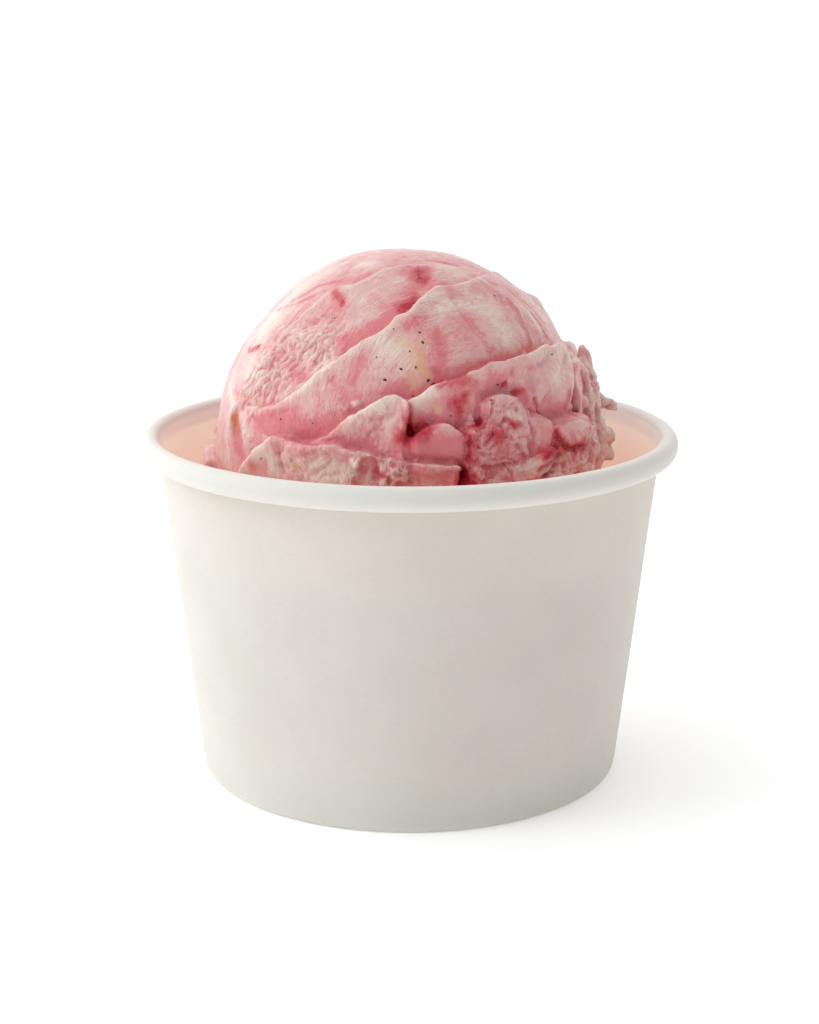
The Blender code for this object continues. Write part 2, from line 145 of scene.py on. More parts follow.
# Torn lumps pressed into the ball: azimuth, elevation, width, height, depth, lean, mm out, roughness
lumps = [
    (28.4, 15.4, 8.2, 8.2, 5.2, -8, 0.4, 0.16), (32.5, 12, 6, 9, 5, 12, 0.3, 0.14),
    (20.2, 11.6, 5, 3.6, 4.4, 24, 0.2, 0.22), (26, 8.2, 12.5, 8, 5.6, 6, 0.5, 0.15),
    (18.7, 5.5, 4.6, 8.4, 4.8, -4, 0.2, 0.18), (29.5, 3.4, 9.4, 5.6, 5.2, 8, 0.4, 0.16),
    (40, 8.4, 6.6, 8.4, 5.6, 10, 0.1, 0.08), (22, -2.8, 10, 4.6, 4.8, -4, 0.7, 0.16),
    (19.6, 1.6, 2.2, 3.6, 2.4, -20, 2.4, 0.12), (33, -4.5, 10, 4.4, 5, -4, 0.6, 0.16),
    (54, 6.2, 14, 8, 6.4, -5, 0.1, 0.1), (56, 0.6, 10, 6.8, 5.2, -6, 0.2, 0.16), (67, 2, 6, 8, 5, 8, 0, 0.2),
    (47.8, -3.6, 8, 5, 4.6, 5, 0.4, 0.2), (62, -6, 8, 5, 5, 0, 0.2, 0.22), (84, 18.6, 4, 8, 4.2, -2, 0.3, 0.2),
    (82, 11.8, 4.4, 8.6, 4.8, 4, -0.2, 0.22), (82, 2.6, 4.8, 9, 5, 0, -0.3, 0.22), (84, -6, 5, 8, 5, 4, -0.4, 0.22),
    (-3.4, 4.9, 2.3, 2, 2, 20, 3.1, 0.3), (-1.2, 5.2, 1.9, 2.2, 2, 0, 3, 0.3),
    (-2.4, 2.4, 3.6, 2.8, 2.6, -10, 3.2, 0.3), (-5.6, 3, 1.8, 2.2, 2, 0, 3, 0.3), (0.4, 1.6, 2, 2.4, 2.2, 0, 3, 0.3),
    (-4.6, 0, 2.6, 2, 2.2, 0, 3.1, 0.3), (-84, -6, 6.4, 4.6, 4.6, 24, 0.7, 0.14),
]

# Fingers of soft ice cream: azimuth, elevation, mm out from the ball and thickness at each place of a line
fingers = [
    [(25, 0.2, 2.4, 2), (28.5, 1, 3, 2.2), (31.5, 1.4, 3.4, 2.3), (34.6, 2, 3.8, 2.3), (37.2, 2.8, 4.1, 2.3),
     (39.3, 3.7, 4.3, 2.4), (40.8, 4.6, 4.3, 2.2)],
    [(25, -1.6, 2.4, 2.4), (32, -0.6, 3, 2.6), (38, 0.6, 3.6, 2.6), (41.5, 2.6, 4, 2.2)],
    [(2.4, 3.4, 2.2, 2.2), (7, 3.2, 2.3, 2.4), (12.6, 2.9, 2.3, 2.2)],
    [(80, 13, 1.4, 3.4), (85, 19, 1.6, 3), (88.5, 22.8, 1.8, 2.2), (89.5, 26.8, 2.4, 1.5)],
    [(82, 8, 1.6, 3.6), (86, 14, 1.8, 3), (88.5, 20, 2.2, 2.4), (89, 25, 2.8, 1.6)],
    [(72, 6, 1.4, 2.6), (76, 13, 1.6, 2.4), (78, 20, 1.6, 2.4), (76, 26, 1.2, 1.6)],
    [(88, 13, 1.4, 3), (88.5, 10.6, 2.8, 2.6), (88.5, 9, 4.8, 2)],
    [(84, 2, 2.4, 3.6), (88, 0.6, 3.9, 2.8), (88, -0.2, 4.2, 1.9)],
    [(84, -2.6, 2.4, 3.6), (88, -4.4, 4, 2.8), (88, -5.2, 4.3, 1.9)],
    [(-34, 8.4, 1.9, 1.6), (-32.8, 5.4, 2.1, 2), (-31.6, 2, 2.1, 1.8), (-31, -2, 1.8, 1.4)],
]

# Small beads that lie on the surface: azimuth, elevation, width, height, depth, lean
beads = [
    (-14, 20.3, 1.5, 1.1, 1, -24), (-17, 18.6, 0.9, 0.8, 0.7, 0), (45.5, 32.6, 1, 1.2, 1.1, 0),
    (-12, 4.6, 1.6, 1.4, 1.2, 0), (16.5, 12.5, 1.5, 1.5, 1.4, 0), (60, 15, 2, 1.6, 1.4, 30), (1.6, 5.6, 1.3, 1, 1, 0),
    (19, 16, 1, 0.9, 0.9, 0), (70, 14, 1.8, 2.4, 1.6, 10),
]

# The back is given lumps of the same kind, and the torn places crumbs, by seeded chance
backLumps = {"count": 12, "from": 102, "to": 262, "levels": (9, -3), "seed": 11}
crumbs = {"count": 80, "sizes": (0.6, 1.7), "seed": 5}

# Crumbly places, and places where the skin is crinkled: azimuth, elevation, spread in degrees, amount
crumblyPlaces = [
    (26, 7, 13, 1), (30, 17, 6, 0.6), (60, 0, 12, 0.9), (84, 14, 14, 1), (22, -4, 12, 1), (-2.5, 3, 4.5, 1.5),
    (52, -6, 14, 1), (40.5, 9, 4.5, -1.4), (53, 8.5, 5, -1.2), (112, 6, 20, 0.9), (150, -2, 22, 1), (190, 4, 22, 1),
    (226, -2, 20, 0.9), (178, 20, 12, 0.7), (9, 9.5, 5, -1), (38, 3, 4, -0.8),
]
crinkledPlaces = [
    (-40, 33, 12, 1), (-50, 25, 9, 1.1), (-57, 21, 7, 0.9), (-31, 38, 8, 0.8), (-55, 8, 6, 0.5), (-64, 34, 8, 0.3),
    (-10, 15, 8, 0.25), (56, 44, 20, 0.3), (-24, 3, 10, 0.7), (-12, 2, 6, 0.6), (-7, 13, 6, 0.35), (214, 26, 16, 0.8),
    (140, 32, 18, 0.7), (170, 52, 14, 0.5), (-100, 20, 16, 0.5), (246, 4, 16, 0.6),
]

# Places where tiny bubbles glisten, with the bubbles painted near white there as painted glints
wetGlintPlaces = [
    (-13, 59, 5, 1), (-18, 51, 4.5, 0.9), (-23, 46.5, 5, 1), (21, 63, 4, 1), (-12, 40, 3, 0.6), (-2, 53, 4, 0.5),
    (-17, 19, 3, 0.6), (-8, 19, 3, 0.6), (10, 49, 4, 0.6), (-36, 26, 3, 0.5), (150, 60, 10, 0.8), (210, 40, 8, 0.8),
]

# Places that lie higher or lower than the round ball: azimuth, elevation, spread in degrees, height
swells = [
    (-84, 44, 14, -0.2), (-60, 64, 14, -0.6), (90, 54, 14, -0.9), (96, 32, 13, -1.2), (-104, 43, 16, -0.5),
    (-130, 70, 12, 0.5), (60, 74, 12, -0.5), (20, 84, 22, -0.35), (-46, 14, 10, -0.3), (36, 20, 14, -0.8),
    (5, 16, 5, -1.1), (17.5, 8, 2, -1.2), (42, 2, 3, -1.8), (40, 0, 6, -1), (24, 11, 8, -0.6), (-24, 11, 10, -0.3),
    (58, 4, 12, -0.8), (84, 12, 10, -0.8), (47.5, 5.6, 2.6, -1.3), (54, 3.6, 3, -1), (-45, 24, 10, -0.35),
]

# Creases and small ridges that are drawn into the skin at the end: height, half width in degrees, then the line
creases = [
    (-0.3, 0.5, -51, 13, -47, 11, -42, 8), (-0.25, 0.5, -31, 4, -27, 1), (0.3, 1.4, -37, 8, -37, 3, -38, -1),
    (-0.35, 0.8, -35.2, 5, -34.4, 0), (-0.08, 2, -62.6, 11, -60, 7.7, -57, 4, -54, 0),
    (0.25, 1.8, -66, 11, -64, 5, -61, 0), (-0.22, 0.9, -72, 46, -59, 50, -53, 54),
    (-0.22, 0.8, -66, 50, -61, 54, -58, 59, -46, 62), (-0.16, 0.7, 34, 78, 55, 75, 67, 70, 79, 65),
    (-0.2, 0.8, 70, 58, 66, 51, 65, 44, 63, 36), (-0.16, 0.7, 76, 55, 71, 47, 70, 40),
    (-0.5, 0.5, 41.9, 19.3, 42.8, 18, 43.8, 15.6, 44.5, 14), (-0.25, 0.6, 40, 16, 45, 14, 47, 12),
    (-0.4, 0.9, 58, 19, 56, 13), (-0.5, 1.5, 29, 23.5, 34, 22, 38, 20), (-0.35, 0.6, 64, 28, 62.5, 22, 61, 17),
    (-0.4, 0.5, 27.7, 14.7, 28.9, 14.3, 30.6, 12.8), (-0.35, 0.6, 26.4, 13.4, 27.7, 14.7),
    (-0.4, 0.6, 30.7, 7.8, 31.9, 6.1, 33.2, 4.6), (-0.45, 0.5, 19.6, 3.8, 22.7, 2.5, 25.4, 2.8, 28.5, 3.2),
    (-0.5, 0.6, 16.8, 10.8, 16.8, 7, 16.9, 2.7), (-0.6, 0.8, 24.4, 19.3, 23.5, 16.4, 22.2, 14.1, 19.7, 12.7),
    (-0.4, 0.5, 33.5, 17.6, 35.2, 16.1, 36, 13), (-0.3, 0.5, 20.1, 6.2, 23.4, 4.6, 27.3, 4.7, 30.6, 3.3),
    (-0.35, 0.6, 25.1, 8.9, 22.4, 7.5, 19.6, 8.3), (-0.45, 0.7, 23.9, 11.3, 21.3, 8.9),
    (-0.4, 0.6, 36.4, 13.5, 36.8, 9, 35.4, 5), (-0.3, 0.6, 28, 10.5, 26.5, 9, 28.5, 7),
    (-0.9, 1, 45.2, 8, 46.4, 6.7, 48, 5.1, 50.8, 3.8, 54.9, 3.6, 59.7, 2.7), (-0.4, 0.7, 57, 5.4, 59, 4.6, 60.5, 3.4),
    (-0.35, 0.6, 61, 8.4, 63.5, 5, 63, 0), (-1, 1, 37.6, 0.6, 40.5, 1.3, 42.1, 2, 44.3, 2.3, 46.1, 2.9),
    (-0.3, 0.8, 1.2, 14.6, 1.6, 12.4, 3.4, 13.4), (-0.4, 0.6, 2, 5.7, 8, 5.1, 14, 4.6), (-0.5, 0.8, -7.6, 6, -7.4, 1),
    (-0.4, 0.6, -4.2, 4, -4, 0), (-0.4, 0.6, 1.6, 4, 1.4, 0), (-0.25, 0.8, -17, 19, -10, 16, -4, 17),
    (-0.3, 1.1, 6, 64, 10, 60, 14, 63),
]


def deselectAll():
    if bpy.context.object and bpy.context.object.mode != "OBJECT":
        bpy.ops.object.mode_set(mode="OBJECT")
    bpy.ops.object.select_all(action="DESELECT")


def pick(piece):
    deselectAll()
    piece.select_set(True)
    bpy.context.view_layer.objects.active = piece


def applyAll(piece):
    pick(piece)
    for modifier in list(piece.modifiers):
        bpy.ops.object.modifier_apply(modifier=modifier.name)


def pointsOf(piece, kind="co"):
    found = np.empty(len(piece.data.vertices) * 3, np.float32)
    piece.data.vertices.foreach_get(kind, found)
    return found.reshape(-1, 3).astype(np.float64)


def setPoints(piece, points):
    piece.data.vertices.foreach_set("co", points.astype(np.float32).ravel())
    piece.data.update()


def keepLayer(piece, name, values):
    layer = piece.data.attributes.get(name) or piece.data.attributes.new(name, "FLOAT", "POINT")
    layer.data.foreach_set("value", values.astype(np.float32))


def joinAll(group, name):
    deselectAll()
    for piece in group:
        piece.select_set(True)
    bpy.context.view_layer.objects.active = group[0]
    bpy.ops.object.join()
    group[0].name = name
    return group[0]


def ramp(value, low, high):
    share = np.clip((value - low) / (high - low), 0.0, 1.0)
    return share * share * (3.0 - 2.0 * share)


def waves(points, length, seed):
    # smooth noise about -1 to 1, with bumps of that length in mm
    places = points / length + np.array([7.31, 3.17, 5.71]) * seed
    return np.array([noise.noise(place) for place in places.tolist()])


def bumps(points, length, seed):
    # rounded cells of torn ice cream: 1 in a cell's middle and 0 at its edge
    places = points / length + np.array([2.31, 8.17, 4.71]) * seed
    near = [noise.voronoi(place)[0] for place in places.tolist()]
    return np.array([min(1.0, (pair[1] - pair[0]) * 1.6) for pair in near])


def toWay(azimuth, elevation):
    turn, rise = math.radians(azimuth), math.radians(elevation)
    return np.array([math.sin(turn) * math.cos(rise), -math.cos(turn) * math.cos(rise), math.sin(rise)])


def spotMask(ways, azimuth, elevation, spread):
    near = np.clip(ways @ toWay(azimuth, elevation), -1.0, 1.0)
    return np.exp(-(np.degrees(np.arccos(near)) / spread) ** 2)


# Camera, as the photograph was taken
deselectAll()
bpy.ops.object.camera_add(location=(0, -0.34748, 0.1342), rotation=(math.radians(75.82), 0, 0))
camera = bpy.context.object
camera.name = "camera"
camera.data.lens = 69.42
camera.data.clip_start = 0.01
bpy.context.scene.camera = camera
print("camera placed")


def wallRadius(level):
    # outer side of the board
    rise = cup["height"] - cup["rollHeight"] / 2
    return cup["footRadius"] + (cup["rimRadius"] - cup["rollWidth"] + cup["sheet"] - cup["footRadius"]) * level / rise


def wallProfile():
    half = cup["sheet"] / 2
    inset = cup["hemInset"]
    rings = [(wallRadius(cup["hemHeight"]) - half - inset, cup["hemHeight"])]
    rings += [(wallRadius(z) - half - inset, z) for z in (4.4, 3.2, 2.0, 1.2)]
    bend = cup["footBend"]
    middle = wallRadius(0) - half - inset / 2
    for step in range(9):
        turn = math.pi * (1 + step / 8)
        rings.append((middle + inset / 2 * math.cos(turn), bend + half + bend * math.sin(turn)))
    rings += [(wallRadius(z) - half, z) for z in (1.8, 3.0, 4.6, 6.4, 9, 14, 20, 27, 34, 41, 47, 52, 55.5, 57.6)]
    centre = (cup["rimRadius"] - cup["rollWidth"] / 2, cup["height"] - cup["rollHeight"] / 2)
    wide, tall = cup["rollWidth"] / 2 - half, cup["rollHeight"] / 2 - half
    for step in range(cup["rollSteps"] + 1):
        turn = math.radians(180 + (cup["rollEnd"] - 180) * step / cup["rollSteps"])
        rings.append((centre[0] + wide * math.cos(turn), centre[1] + tall * math.sin(turn)))
    return rings


def drawRings(name, rings, columns):
    # a circle that is extruded from ring to ring
    deselectAll()
    radius, level = rings[0]
    bpy.ops.mesh.primitive_circle_add(vertices=columns, radius=radius * mm, location=(0, 0, level * mm))
    piece = bpy.context.object
    piece.name = name
    bpy.ops.object.transform_apply(location=True, rotation=True, scale=True)
    bpy.ops.object.mode_set(mode="EDIT")
    bpy.ops.mesh.select_all(action="SELECT")
    for nextRadius, nextLevel in rings[1:]:
        rise = (nextLevel - level) * mm
        bpy.ops.mesh.extrude_edges_move(TRANSFORM_OT_translate={"value": (0, 0, rise)})
        grow = nextRadius / radius
        bpy.ops.transform.resize(value=(grow, grow, 1), center_override=(0, 0, nextLevel * mm))
        radius, level = nextRadius, nextLevel
    return piece


def thicken(piece):
    board = piece.modifiers.new("board", "SOLIDIFY")
    board.thickness = cup["sheet"] * mm
    board.offset = 0.0
    board.use_even_offset = True


def facesOut(piece):
    pick(piece)
    bpy.ops.object.mode_set(mode="EDIT")
    bpy.ops.mesh.select_all(action="SELECT")
    bpy.ops.mesh.remove_doubles(threshold=0.000001)
    bpy.ops.mesh.normals_make_consistent(inside=False)
    bpy.ops.object.mode_set(mode="OBJECT")


def makeCupWall():
    piece = drawRings("cupWallPaper", wallProfile(), cup["columns"])
    bpy.ops.object.mode_set(mode="OBJECT")
    points = pointsOf(piece)
    radius = np.hypot(points[:, 0], points[:, 1])
    turn = np.arctan2(points[:, 0], points[:, 1])  # 0 at the back, where the sheet's ends lap
    height = points[:, 2] / mm
    outward = points[:, :2] / radius[:, None]
    # the lapping end lies one board further out, with a crisp edge on one side and a long fade on the other
    width = math.tau / cup["columns"]
    crisp = ramp(turn, 0.10, 0.10 + width * 0.9) - ramp(turn, 0.12 + width, 0.10 + cup["seamFade"])
    lap = crisp * cup["seamStep"]
    lap *= ramp(height, 0.2, 1.6)
    inHem = radius < wallRadius(0) * mm - 0.9 * mm
    lap[inHem] *= 0.4
    # soft dents from handling, and the knurled ring that presses the foot's fold together
    soft = waves(points / mm, 26.0, 3) * cup["dents"] * ramp(height, 4, 30)
    knurl = np.where(inHem & (height < 4.9), np.cos(turn * cup["knurlTeeth"]) * cup["knurl"], 0.0)
    inside = ramp(height, 55, 61)
    points[:, :2] += outward * ((lap * (1 - 0.35 * inside) + soft * (1 - 0.6 * inside) + knurl) * mm)[:, None]
    points[:, 2] += np.where(height > 57, waves(points / mm, 34.0, 8) * 0.10 * mm, 0.0)
    setPoints(piece, points)
    facesOut(piece)
    thicken(piece)
    edge = piece.modifiers.new("cut edges", "BEVEL")
    edge.width = 0.06 * mm
    edge.segments = 1
    edge.limit_method = "ANGLE"
    edge.angle_limit = math.radians(60)
    applyAll(piece)
    points = pointsOf(piece)
    over = np.hypot(points[:, 0], points[:, 1]) / (cup["widest"] * mm)
    points[:, :2] /= np.maximum(over, 1.0)[:, None]
    points[:, 2] = np.clip(points[:, 2], 0.0, cup["tallest"] * mm)
    setPoints(piece, points)
    piece.data.shade_smooth()
    return piece


def makeCupBase():
    inset = cup["sheet"] + 0.35
    half = cup["sheet"] / 2
    top = cup["discLevel"]
    rings = [(wallRadius(z) - half - inset, z) for z in (cup["flangeFoot"], 2.6, 3.6, 4.6, 5.4)]
    for step in range(1, 7):
        turn = math.radians(90 * step / 6)
        rings.append((wallRadius(5.4) - half - inset - 0.85 * (1 - math.cos(turn)), 5.4 + 0.85 * math.sin(turn)))
    for radius in (34.5, 33.2, 31.8, 30.9, 30.0, 27.0, 22.0, 16.0, 10.0, 5.0, 2.0, 0.6):
        rings.append((radius, top + (0.16 if 31.0 < radius < 32.5 else 0.0) - 0.25 * (1 - radius / 34.5) ** 2))
    piece = drawRings("cupBasePaper", rings, 160)
    bpy.ops.mesh.merge(type="CENTER")
    bpy.ops.object.mode_set(mode="OBJECT")
    facesOut(piece)
    thicken(piece)
    applyAll(piece)
    piece.data.shade_smooth()
    return piece


def pairsOf(line):
    return list(zip(line[::2], line[1::2]))


def foldLine(angles, steps=18):
    # a smooth curve on the ball through the angles, the side that stands proud along it, and its strength
    points = np.array([[*toWay(*place[:2]), place[2] if len(place) > 2 else 1.0] for place in angles])
    points = np.vstack([2 * points[0] - points[1], points, 2 * points[-1] - points[-2]])
    line = []
    for before, start, end, after in zip(points, points[1:], points[2:], points[3:]):
        for share in np.arange(steps) / steps:
            bend = 2 * before - 5 * start + 4 * end - after
            twist = 3 * start - before - 3 * end + after
            line.append(start + 0.5 * ((end - before) * share + bend * share**2 + twist * share**3))
    line = np.array([*line, points[-2]])
    strength = np.clip(line[:, 3], 0.0, 2.0)
    line = line[:, :3] / np.linalg.norm(line[:, :3], axis=1)[:, None]
    side = np.cross(np.gradient(line, axis=0), line)
    return line, side / np.linalg.norm(side, axis=1)[:, None], strength


def lineMask(ways, angles, width):
    # 1 along a line on the ball, fading over its half width in degrees
    line = foldLine(angles, 10)[0]
    near = np.full(len(ways), -1.0)
    middle = line.mean(axis=0)
    middle /= np.linalg.norm(middle)
    reach = np.arccos(np.clip((line @ middle).min(), -1.0, 1.0)) + math.radians(3.0 * width)
    close = np.nonzero(ways @ middle > math.cos(min(reach, math.pi)))[0]
    near[close] = (ways[close] @ line.T).max(axis=1)
    return np.exp(-((np.degrees(np.arccos(np.clip(near, -1.0, 1.0))) / width) ** 2))


def readFold(ways, fold, wiggle):
    # distance in mm from the fold's edge, positive on its proud side, how strong it is there, and that side
    line, side, strength = foldLine(fold["line"])
    closest = np.empty(len(ways), int)
    for start in range(0, len(ways), 20000):
        closest[start : start + 20000] = np.argmax(ways[start : start + 20000] @ line.T, axis=1)
    offset = ways - line[closest]
    away = np.linalg.norm(offset, axis=1)
    across = np.einsum("ij,ij->i", offset, side[closest])
    pastEnd = (closest == 0) | (closest == len(line) - 1)
    distance = np.where(pastEnd, np.copysign(away, across), across) * scoop["radius"] + wiggle * fold["ragged"]
    return distance, strength[closest], side[closest]


def shapeBall(ways, full=True):
    # how far each point of the ball stands out, in mm, and how far folds pull it along the surface
    places = ways * scoop["radius"]
    wiggle = 0.34 * waves(places, 3.2, 1) + 0.17 * waves(places, 1.3, 2)
    relief = 0.30 * waves(places, 14.0, 3) + 0.16 * waves(places, 6.0, 4)
    pull = np.zeros_like(ways)
    for fold in folds:
        distance, strength, side = readFold(ways, fold, wiggle)
        below = np.maximum(distance, 0.0)
        above = np.minimum(distance, 0.0)
        proud = fold["height"] * np.exp(-below / fold["reach"])
        proud += fold["height"] * 0.16 * np.exp(-(((below - 0.9) / 0.9) ** 2))
        sunk = -fold["groove"] * np.exp(above / 1.6)
        step = ramp(distance, -fold["cliff"] / 2, fold["cliff"] / 2)
        relief += strength * (step * proud + (1.0 - step) * sunk)
        if full:
            lean = strength * step * np.exp(-below / 1.3) * 0.28 * fold["height"]
            pull -= side * lean[:, None]
    for azimuth, elevation, spread, height in swells:
        relief += height * spotMask(ways, azimuth, elevation, spread)
    level = np.degrees(np.arcsin(np.clip(ways[:, 2], -1, 1)))
    collar = np.exp(-(((level + 4.0) / 7.0) ** 2))
    relief += collar * (0.5 + 0.9 * waves(places, 6.0, 5))
    return relief, pull


def ballPoint(at, out=0.0):
    way = toWay(*at)
    relief, _ = shapeBall(way[None, :], False)
    return way * (scoop["radius"] + float(relief[0]) + out)


def addLump(size, lean, way, middle, rough, seed, detail):
    deselectAll()
    bpy.ops.mesh.primitive_ico_sphere_add(subdivisions=detail, radius=0.5)
    piece = bpy.context.object
    piece.name = "lump"
    form = pointsOf(piece)
    form /= np.linalg.norm(form, axis=1)[:, None]
    square = np.abs(form).max(axis=1) ** -0.3
    swell = 1.0 + rough * waves(form, 0.55, seed) + 0.65 * rough * waves(form, 0.26, seed + 40)
    swell += 0.35 * rough * waves(form, 0.13, seed + 80)
    form = form * (0.5 * square * swell)[:, None] * np.array([size[0], size[2], size[1]])
    out = Vector(way)
    right = Vector((0, 0, 1)).cross(-out).normalized()
    axes = Matrix((right, -out, right.cross(-out))).transposed()
    turned = np.array(axes @ Matrix.Rotation(math.radians(lean), 3, "Y"))
    setPoints(piece, (form @ turned.T + middle + np.array(scoop["centre"])) * mm)
    return piece


def lumpList():
    chance = np.random.default_rng(backLumps["seed"])
    found = list(lumps)
    for index in range(backLumps["count"]):
        share = (index + chance.uniform(0.2, 0.8)) / backLumps["count"]
        azimuth = backLumps["from"] + (backLumps["to"] - backLumps["from"]) * share
        elevation = backLumps["levels"][index % 2] + chance.uniform(-3, 3)
        size = (chance.uniform(5, 11), chance.uniform(4, 8), chance.uniform(4, 6))
        lean, out, rough = chance.uniform(-30, 30), chance.uniform(-0.2, 0.5), chance.uniform(0.2, 0.34)
        found.append((azimuth, elevation, *size, lean, out, rough))
    return found


def placesMask(ways, places):
    found = np.zeros(len(ways))
    for azimuth, elevation, spread, amount in places:
        found += amount * spotMask(ways, azimuth, elevation, spread)
    return np.clip(found, 0.0, 1.5)


def makeScoop():
    deselectAll()
    bpy.ops.mesh.primitive_ico_sphere_add(subdivisions=8, radius=1.0)
    ball = bpy.context.object
    ways = pointsOf(ball)
    ways /= np.linalg.norm(ways, axis=1)[:, None]
    relief, pull = shapeBall(ways)
    # the underside is hidden in the bed, so it is drawn in to a plain stump
    flat = np.maximum(scoop["radius"] + relief, 1.0)[:, None] * ways + pull
    depth = np.clip((-flat[:, 2] - 9.0) / 12.0, 0.0, 1.0)
    flat[:, 2] = np.maximum(flat[:, 2], -21.0 + 0.02 * flat[:, 2])
    flat[:, :2] *= (1.0 + 0.10 * depth)[:, None]
    setPoints(ball, (flat + np.array(scoop["centre"])) * mm)
    print("ball folded")

    group = [ball]
    for seed, (azimuth, elevation, *size, lean, out, rough) in enumerate(lumpList()):
        way = toWay(azimuth, elevation)
        group.append(addLump(size, lean, way, way * (scoop["radius"] + out), rough, seed, 5))
    for finger in fingers:
        line, _, outs = foldLine([(azimuth, elevation, out / 3) for azimuth, elevation, out, _ in finger], 5)
        sizes = np.interp(np.linspace(0, 1, len(line)), np.linspace(0, 1, len(finger)), [row[3] for row in finger])
        for seed, (way, out, size) in enumerate(zip(line, outs, sizes)):
            middle = way * (scoop["radius"] + 3 * out - size / 2)
            group.append(addLump((size, size, size), 0, way, middle, 0.10, 90 + seed, 4))
    for seed, (azimuth, elevation, *size, lean) in enumerate(beads):
        at = (azimuth, elevation)
        group.append(addLump(size, lean, toWay(*at), ballPoint(at, 0.25 * size[2]), 0.2, 120 + seed, 4))
    chance = np.random.default_rng(crumbs["seed"])
    spots = []
    while len(spots) < crumbs["count"]:
        at = (chance.uniform(-180, 180), chance.uniform(-9, 34))
        if placesMask(toWay(*at)[None, :], crumblyPlaces)[0] * (1.0 if at[1] < 22 else 0.4) > chance.uniform(0.4, 1.6):
            spots.append(at)
    for seed, at in enumerate(spots):
        across = crumbs["sizes"][0] + (crumbs["sizes"][1] - crumbs["sizes"][0]) * chance.random() ** 2.2
        size = (across * chance.uniform(0.8, 1.5), across, across * chance.uniform(0.7, 1.1))
        middle = ballPoint(at, 0.15 * across)
        group.append(addLump(size, chance.uniform(-60, 60), toWay(*at), middle, 0.3, 200 + seed, 4))
    print("lumps and crumbs pressed on:", len(group) - 1)

    joinAll(group, "iceCreamBall")
    skin = ball.modifiers.new("one skin", "REMESH")
    skin.mode = "VOXEL"
    skin.voxel_size = scoop["voxel"] * mm
    skin.use_smooth_shade = True
    applyAll(ball)
    print("one skin:", len(ball.data.polygons), "faces")

    # a soft grain everywhere, the creases, and the crumbly and crinkled relief
    points = pointsOf(ball)
    normals = pointsOf(ball, "normal")
    local = points / mm - np.array(scoop["centre"])
    ways = local / np.linalg.norm(local, axis=1)[:, None]
    shown = local[:, 2] > -17.0
    relief = np.zeros(len(points))
    where = np.nonzero(shown)[0]
    relief[where] = 0.06 * waves(local[where], 1.6, 21) + 0.05 * waves(local[where], 4.0, 20)
    for height, width, *line in creases:
        relief[where] += height * lineMask(ways[where], pairsOf(line), width)
    crumbly = placesMask(ways, crumblyPlaces)
    rough = np.nonzero(shown & (crumbly > 0.1))[0]
    places = local[rough] + 0.6 * np.stack([waves(local[rough], 2.2, seed) for seed in (41, 42, 43)], axis=1)
    coarse, fine = scoop["pebbles"]
    form = coarse * (bumps(places, 2.6, 7) - 0.6) + fine * (bumps(places, 1.2, 9) - 0.5)
    coarse, fine = scoop["torn"]
    form += coarse * waves(local[rough], 2.8, 23) + fine * waves(local[rough], 1.0, 24)
    for length, depth, seed in ((5.2, 0.26, 25), (2.4, 0.10, 26)):
        form -= depth * np.exp(-((waves(places, length, seed) / 0.07) ** 2))
    relief[rough] += crumbly[rough] * form
    crinkled = placesMask(ways, crinkledPlaces)
    rough = np.nonzero(shown & (crinkled > 0.1))[0]
    # the wrinkles run up and to the right
    drag = np.array(scoop["wrinkleDrag"])
    places = local[rough] + 0.40 * np.stack([waves(local[rough], 2.4, seed) for seed in (44, 45, 46)], axis=1)
    places -= 0.62 * (places @ drag)[:, None] * drag
    ridge, fine, coarse = scoop["wrinkles"]
    form = ridge * (bumps(places, 1.15, 12) - 0.6) + fine * waves(places, 0.8, 13) + coarse * waves(places, 1.9, 14)
    relief[rough] += crinkled[rough] * form
    setPoints(ball, points + normals * (relief * mm)[:, None])
    print("skin crinkled")
    # what the bed hides loses most of its faces first
    hidden = ball.vertex_groups.new(name="hidden")
    hidden.add(np.nonzero(local[:, 2] < -17.5)[0].tolist(), 1.0, "REPLACE")
    kept = 1.0 - 0.9 * float((local[:, 2] < -17.5).mean())
    first = ball.modifiers.new("hidden faces", "DECIMATE")
    first.vertex_group = "hidden"
    first.ratio = kept
    fewer = ball.modifiers.new("fewer faces", "DECIMATE")
    fewer.ratio = min(1.0, scoop["triangles"] / (2.0 * len(ball.data.polygons) * kept))
    applyAll(ball)
    ball.data.shade_smooth()
    print("ball finished:", sum(len(face.vertices) - 2 for face in ball.data.polygons), "triangles")
    return ball


# Ice cream that fills the cup under the ball, in mm
filling = {
    "level": 44.0,
    "gap": 0.25,
    "swell": 1.1,
    "grain": 0.5,
    "bank": 2.6,  # it is pushed up round the ball
    "bankRadius": 33.0,
}


